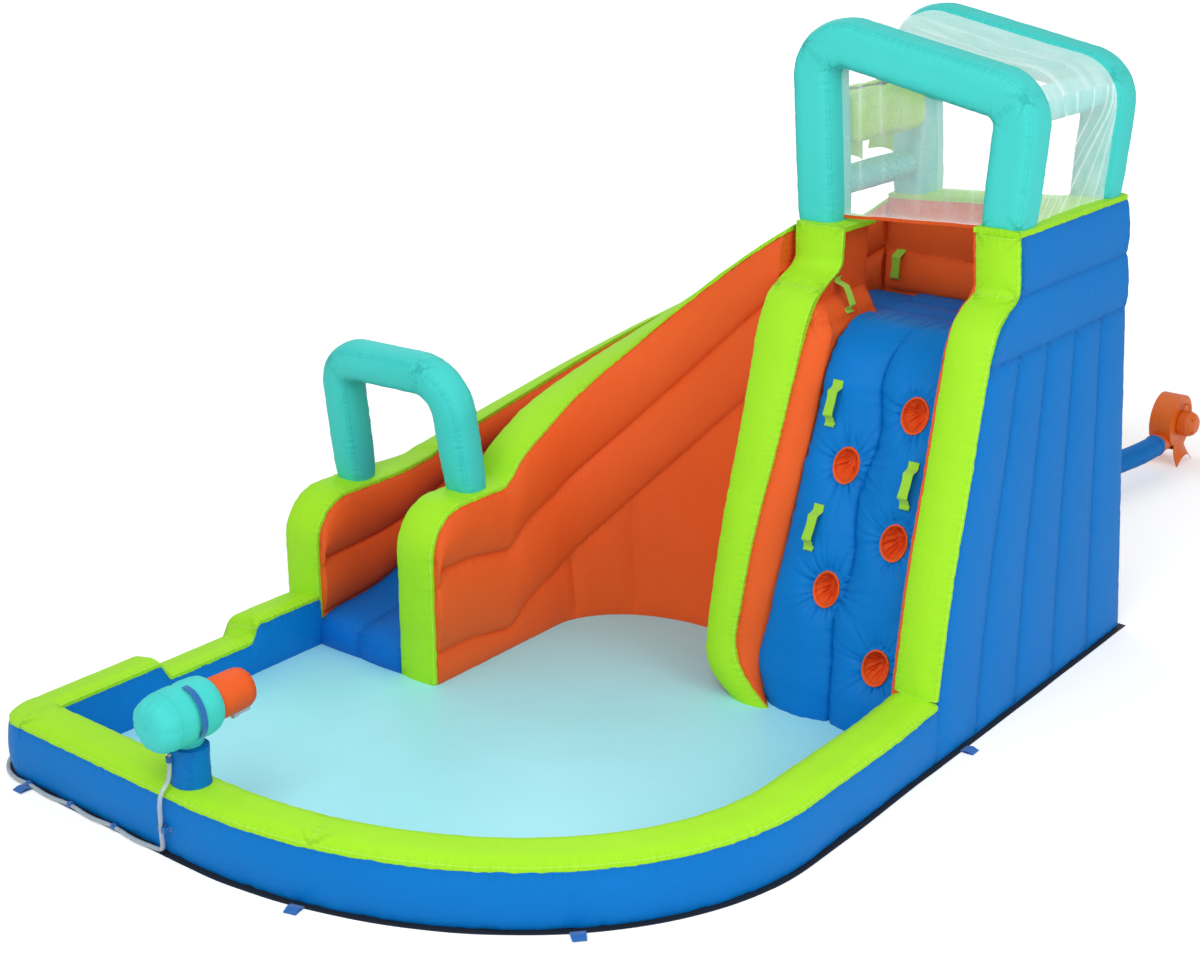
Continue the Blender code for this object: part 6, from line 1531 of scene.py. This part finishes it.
def cannon():
    """The blue post, and on it the cannon's round body with its neck, barrel and handle."""
    depth = POOL_DEPTH - POOL_WALL / 2
    low = CANNON_HEIGHT - CANNON_RADIUS - NECK_RISE
    axis = spot(CANNON_INSET, depth, CANNON_HEIGHT)
    ends = [spot(CANNON_INSET, depth, z) for z in (POOL_HEIGHT - 0.004, low)]
    tube("cannon_post", BLUE, ends, (1, 0, 0), POST_DEEP / 2, POST_WIDE / 2, puff=0.002, pinch=-0.06, pucker=0.002,
         power=2.3)

    rear = axis - Vector((0, CANNON_REAR, 0))
    r, long = CANNON_RADIUS - 0.002, CANNON_LENGTH
    shape = [(0, -0.018), (0.12 * r, -0.021), (0.34 * r, -0.022), (0.58 * r, -0.018), (0.76 * r, -0.008),
             (0.88 * r, 0.007), (0.955 * r, 0.028), (0.99 * r, 0.056)]
    shape += [(r * (1 + 0.01 * sin(pi * t)), mix(0.09, long - 0.05, t)) for t in evenly(0, 1, 12)]
    shape += [(0.985 * r, long - 0.032), (0.95 * r, long - 0.015), (0.88 * r, long - 0.004), (0.78 * r, long),
              (0.4 * r, long), (0, long)]

    def gathers(turn, h):
        """Eight gores with a gathered rear end, and a shallow dent under the strap."""
        gore = abs(sin(4 * turn)) ** 0.7 - 0.6
        small = noise.noise((5 * cos(turn), 5 * sin(turn), 2.0)) * 0.006 * exp(-h / 0.03)
        strap_dent = -0.004 * exp(-(((h - long * 0.55) / 0.014) ** 2))
        return 0.004 * gore * exp(-h / 0.10) + small + strap_dent + 0.0015 * ripple(cos(turn) * 2, h * 20, 6)

    turned_piece("cannon_body_fabric", ["cannon_body"], TEAL, shape, 96, rear, (0, 1, 0), "cannon", 0.048, gathers)
    narrow, wide = POST_DEEP / 2 - 0.008, POST_DEEP / 2 - 0.004
    neck = [(0, 0), (narrow, 0), (wide, 0.006), (narrow, 0.03), (wide, 0.06), (0, 0.062)]
    turned_piece("cannon_neck_fabric", ["cannon_body"], TEAL, neck, 48, Vector((axis.x, axis.y, low + 0.001)),
                 (0, 0, 1), "cannon", 0.006)
    r, long = BARREL_RADIUS - 0.001, BARREL_LENGTH
    shape = [(0, 0.001), (0.9 * r, 0.001), (r, 0.010), (1.01 * r, 0.06), (r, long - 0.045),
             (0.97 * r, long - 0.024), (0.88 * r, long - 0.009), (0.74 * r, long - 0.002), (0.4 * r, long - 0.001),
             (0, long - 0.004)]
    mouth = rear + Vector((0, CANNON_LENGTH, 0))

    def soft(turn, h):
        rim = noise.noise((6 * cos(turn), 6 * sin(turn), 4.0)) * exp(-abs(h - 0.145) / 0.02)
        return 0.0012 * ripple(cos(turn) * 3, sin(turn) * 3 + h * 20, 3) + 0.0016 * rim

    turned_piece("cannon_barrel_fabric", ["cannon_barrel"], ORANGE, shape, 80, mouth, (0, 1, 0), "cannon", 0.148,
                 soft)

    def handle(u, v, w):
        """A webbing strap round the body that stands off it over the top."""
        ring = u * pi / 16
        lift = STRAP_RISE * clamp((STRAP_STEPS - abs(u)) / 2)
        reach = CANNON_RADIUS + 0.001 + lift + 0.003 * w
        turn = ring - STRAP_TILT * pi / 16
        place = Vector((cos(turn) * reach, v * STRAP_WIDTH / 2, sin(turn) * reach))
        return rear + Vector((0, CANNON_LENGTH * 0.55, 0)) + place

    stations = [evenly(-STRAP_STEPS, STRAP_STEPS, 60), evenly(-1, 1, 4), [0, 1]]
    chamber("cannon_strap", BLUE_WEBBING, stations, handle, [(1, -1)], puff=0.0, pucker=0.0004, wrinkle=0.0,
            body="cannon", sharp=40)


def pipe(name, finish, points, radius, node_names):
    """A round hose along a line of points, closed at both ends."""
    points = respaced([Vector(p) for p in points], HOSE_STEP)
    last = len(points) - 1
    bm = bmesh.new()
    bmesh.ops.create_cone(bm, cap_ends=True, segments=18, radius1=1, radius2=1, depth=1)
    long = [e for e in bm.edges if abs(e.verts[0].co.z - e.verts[1].co.z) > 0.5]
    bmesh.ops.subdivide_edges(bm, edges=long, cuts=last - 1)
    frames, side = [], None
    for k in range(last + 1):
        run = (points[min(k + 1, last)] - points[max(k - 1, 0)]).normalized()
        side = run.orthogonal() if side is None else side - run * side.dot(run)
        side.normalize()
        frames.append((side.copy(), run.cross(side)))
    run_at = {}
    for vert in bm.verts:
        k = round((vert.co.z + 0.5) * last)
        a, b = frames[k]
        run_at[vert.index] = (k * HOSE_STEP, atan2(vert.co.y, vert.co.x) * radius)
        vert.co = points[k] + (a * vert.co.x + b * vert.co.y) * radius
    face_outwards(bm)
    lay_seam_map(bm, lambda vert: run_at[vert.index])
    dress(name, bm, finish, node_names)


def water_hose():
    """From the cannon's post over the pool wall, along its foot in slack swags and up the left side."""
    r = HOSE_RADIUS
    ground, foot = SHEET_THICK + r + GAP, POOL_BULGE + r + 0.001
    post = POOL_DEPTH - POOL_WALL / 2 + POST_DEEP / 2 + r + 0.002
    face, i, start = POOL_DEPTH + foot, CANNON_INSET + 0.02, CANNON_INSET + 0.055
    neck = CANNON_HEIGHT - CANNON_RADIUS
    points = [spot(i, post - 0.004, neck - 0.03), spot(i, post + 0.004, POOL_HEIGHT + 0.06)]
    over = ((0.05, 0.034), (0.4, 0.018), (0.8, 0.006), (1, -0.02))
    points += [spot(i, mix(post, face + 0.006, share), POOL_HEIGHT + rise) for share, rise in over]
    bow = ((0.8, 0.012), (0.6, 0.006), (0.3, 0.014), (0.16, 0.008))
    points += [spot(i + 0.3 * out, face + out, POOL_HEIGHT * z) for z, out in bow]
    points += [spot(i + 0.010, face, ground + 0.012), spot(start, face, ground)]

    def slack(run):
        return HOSE_SAG * sin(pi * run / HOSE_HOLDS) ** 2

    corner, turned_at, end = PARK_WIDTH - POOL_CORNER, POOL_DEPTH - POOL_CORNER, SLIDE_EXIT_DEPTH - HOSE_END
    for inset in evenly(start, corner, 40)[1:]:
        points.append(spot(inset, face + slack(inset - start), ground))
    out = BACK_Y - POOL_DEPTH + POOL_CORNER - points[-1].y
    for k in range(1, 17):
        turn = k / 16 * pi / 2
        reach = mix(out, POOL_CORNER + foot, k / 16)
        points.append(spot(corner + reach * sin(turn), turned_at + reach * cos(turn), ground))
    for depth in evenly(turned_at, end, 60)[1:]:
        straight = clamp((depth - end) / 0.15)
        points.append(spot(PARK_WIDTH + foot + straight * slack(turned_at - depth), depth, ground))
    pipe("clear_hose", HOSE_VINYL, smoothed(points), r, ["water_hose"])

    holds = [("hose_hold_1", spot(i, face + 0.002, POOL_HEIGHT * 0.45), (0, 0, 1)),
             ("hose_hold_2", spot(i, post, neck - 0.05), (0, 0, 1))]
    for k in range(1, 4):
        holds.append((f"hose_hold_{k + 2}", spot(start + k * HOSE_HOLDS, face, ground + 0.001), (1, 0, 0)))
    bore, outer, half = r + 0.0006, r + 0.0035, 0.010
    ring = [(bore, -half), (outer, -half), (outer + 0.0006, 0.0), (outer, half), (bore, half), (bore, -half)]
    for name, place, direction in holds:
        turned_piece(name, ["hose_loop"], BLUE_WEBBING, ring, 28, place, direction)
    pad = spot(i, POOL_DEPTH + 0.012, POOL_HEIGHT * 0.45)
    surface = surface_of(frame["nodes"]["pool_wall_front"])
    strap("hose_loop", BLUE_WEBBING, surface, pad, (1, 0, 0), (0, -1, 0), 0.075, 0.022, 2.6 * r, 0.0)


# Blower


def sleeve():
    """The blue sleeve that carries the air from the fan to the back wall, tied on with a strap."""
    fan = spot(FAN_INSET, FAN_DEPTH, SPOUT_HEIGHT)
    start = fan.y - SPOUT_LENGTH + SLEEVE_OVERLAP
    end = Vector((RIGHT_X - SLEEVE_INSET, BACK_Y + 0.008, SPOUT_HEIGHT))
    line = [Vector((fan.x, start, SPOUT_HEIGHT)), Vector((fan.x, start - 0.12, SPOUT_HEIGHT)),
            Vector((mix(fan.x, end.x, 0.03), start - 0.22, SPOUT_HEIGHT)), end + Vector((0.02, 0.24, 0)),
            end + Vector((0, 0.14, 0)), end]
    fine = respaced(line, 0.02)
    for _ in range(6):
        fine = smoothed(fine)
    tube("inflation_sleeve", BLUE, fine, (0, 0, 1), SLEEVE_RADIUS, SLEEVE_RADIUS, puff=0.002, pinch=0.06,
         pucker=0.003, wrinkle=0.004)
    bore, outer, wide = SLEEVE_RADIUS - 0.006, SLEEVE_RADIUS + 0.002, 0.020
    ring = [(bore, 0), (outer, 0), (SLEEVE_RADIUS + 0.003, wide / 2), (outer, wide), (bore, wide), (bore, 0)]
    turned_piece("sleeve_strap_webbing", ["sleeve_strap"], BLUE_WEBBING, ring, 64,
                 Vector((fan.x, start - 0.035, SPOUT_HEIGHT)), (0, 1, 0))


# Ground sheet and floor


def flat_sheet(name, finish, ring, thickness, nodes):
    """A flat sheet cut to a ring of points."""
    bm = bmesh.new()
    verts = [bm.verts.new(point) for point in ring]
    for a, b in zip(verts, verts[1:] + verts[:1]):
        bm.edges.new((a, b))
    bmesh.ops.triangle_fill(bm, edges=bm.edges, use_beauty=True)
    grown = bmesh.ops.extrude_face_region(bm, geom=bm.faces[:], use_keep_orig=True)
    moved = [item for item in grown["geom"] if isinstance(item, bmesh.types.BMVert)]
    bmesh.ops.translate(bm, vec=(0, 0, thickness), verts=moved)
    face_outwards(bm)
    return dress(name, bm, finish, nodes, sharp=30)


def sheet_outline():
    """The ground sheet's edge: a narrow black margin round the walls' feet."""
    out, reach = SHEET_MARGIN - 0.004, (PARK_WIDTH - SLIDE_TURN_INSET, SLIDE_TURN_DEPTH - FAR_BACK_DEPTH)
    places = [pool_rail(k, -out) for k in evenly(0, POOL_STATIONS, 160)]
    places += [left_rail(t, -out) for t in [*evenly(0, 1, 12)[1:], *evenly(1, 2, 40)[1:]]]
    places += [(PARK_WIDTH + out, depth) for depth in evenly(SLIDE_EXIT_DEPTH, SLIDE_TURN_DEPTH, 24)[1:]]
    for angle in evenly(0, pi / 2, 60)[1:]:
        inset = SLIDE_TURN_INSET + (reach[0] + out) * cos(angle)
        places.append((inset, SLIDE_TURN_DEPTH - (reach[1] + out) * sin(angle)))
    places += [(i, FAR_BACK_DEPTH - out) for i in evenly(SLIDE_TURN_INSET, LEFT_OUTER_TOP + out, 8)[1:]]
    places += [(i, -out) for i in evenly(LEFT_OUTER_TOP + out, -out, 50)]
    places += [(-out, d) for d in evenly(-out, front_depth(0), 60)[1:-1]]
    wavy = []
    for k, (i, d) in enumerate(places):
        wave = 0.0035 * ripple(k * 0.11, 0.0, 9)
        wavy.append((i + wave * (0.6 if i > 0 else -0.6), d + wave * (1 if d > 0 else -0.6)))
    return wavy


def tab_frame(nearest):
    """Middle, outward direction and direction across of a stake tab, from the sheet's vertices nearest to it."""
    corners = []
    for v in nearest:
        if all((v.co.xy - c).length > 0.004 for c in corners):
            corners.append(v.co.xy.copy())
        if len(corners) == 4:
            break
    middle = sum(corners, Vector((0, 0))) / 4
    sides = sorted(((a - b).length, (a - b).normalized()) for n, a in enumerate(corners) for b in corners[n + 1 :])
    out = sides[0][1]
    out = out if out.dot(middle - PARK_MIDDLE) > 0 else -out
    return middle, out, Vector((-out.y, out.x))


def stake_tabs():
    """Doubled webbing at every stake tab of the ground sheet, its upper layer standing a little off."""
    sheet = frame["nodes"]["ground_sheet"].data.vertices
    tabs = bmesh.new()
    uv = tabs.loops.layers.uv.new("seam")
    for mount in frame["record"]["mounts"]:
        if not mount["name"].startswith("stake_tab"):
            continue
        x, y, _ = mount["pos_m"]
        middle, out, across = tab_frame(sorted(sheet, key=lambda v: (v.co.x - x) ** 2 + (v.co.y - y) ** 2))
        for layer in (0, 1):
            made = bmesh.ops.create_grid(tabs, x_segments=16, y_segments=10, size=0.5)["verts"]
            for vert in made:
                u, v = vert.co.x + 0.5, vert.co.y * 2
                along_tab = mix(TAB_INNER, TAB_OUTER, u)
                lift = 0.0035 + 0.002 * layer + 0.006 * sin(pi * u) ** 2 * layer + 0.0012 * v * sin(3 * u)
                place = middle + out * along_tab + across * (v * (TAB_HALF - 0.003 * u))
                vert.co = Vector((place.x, place.y, lift))
            for face in {f for vert in made for f in vert.link_faces}:
                for loop in face.loops:
                    flat = loop.vert.co.xy - middle
                    loop[uv].uv = (flat.dot(out), flat.dot(across) + 0.03)
    bmesh.ops.solidify(tabs, geom=tabs.faces[:], thickness=0.0012)
    face_outwards(tabs)
    return dress("blue_stake_tabs", tabs, BLUE_WEBBING, ["ground_sheet"], sharp=50)


def ground():
    """The black sheet with its tabs, and the pool's floor, whose edge runs a little way under the walls."""
    outline = [spot(i, d, 0.0) for i, d in sheet_outline()]
    black = flat_sheet("black_ground_sheet", BLACK, outline, SHEET_THICK, ["ground_sheet"])
    webbing = stake_tabs()
    declare_sheet(black, (), (webbing,))

    inner, strip_in = POOL_WALL - FLOOR_TUCK, SIDE_WALL + SIDE_LINER - FLOOR_TUCK
    back = climb_face(0.05) - 0.06
    outline = [(strip_in + 0.06, back), (strip_in, back), (strip_in, front_depth(0) + 0.01)]
    outline += [pool_rail(k, inner) for k in evenly(2, 22.6, 150)]
    outline.append((PARK_WIDTH - inner, POOL_DEPTH - inner))
    exit_front = SLIDE_EXIT_DEPTH - FLOOR_TUCK
    outline += [(PARK_WIDTH - inner, exit_front), (near_outer(1, 0)[0] + FLOOR_TUCK, exit_front)]
    for t in evenly(0.95, 0.1, 60):
        a, b = near_outer(t, 0), near_outer(t + 0.01, 0)
        run = hypot(b[0] - a[0], b[1] - a[1])
        outline.append((a[0] + (b[1] - a[1]) / run * FLOOR_TUCK, a[1] - (b[0] - a[0]) / run * FLOOR_TUCK))
    outline += [(LEFT_OUTER_BASE - FLOOR_TUCK, NEAR_BASE_DEPTH - FLOOR_TUCK), (LEFT_OUTER_BASE - FLOOR_TUCK, back)]
    floor = flat_sheet("aqua_pool_floor", AQUA, [spot(i, d, FLOOR_Z) for i, d in outline], 0.005, ["pool_floor"])
    declare_sheet(floor, ("black_ground_sheet",))


# Moulded and clear pieces, as modelled in the part
for names, material in (
    (("housing_left", "housing_right", "intake_grille", "motor", "blower_handle", "hose_connector"), ORANGE_ABS),
    (("impeller", "bucket_pin_front", "bucket_pin_rear"), GREY_ABS),
    (("cannon_nozzle",), HOSE_VINYL[0]),
):
    for name in names:
        frame["nodes"][name].material_slots[0].material = material

ground()
pool_front()
pool_left()
slide()
slide_arch()
tower_right()
tower_left()
tower_back()
platform()
climb_wall()
tower_loops()
arches()
nets()
bucket()
cannon()
water_hose()
sleeve()
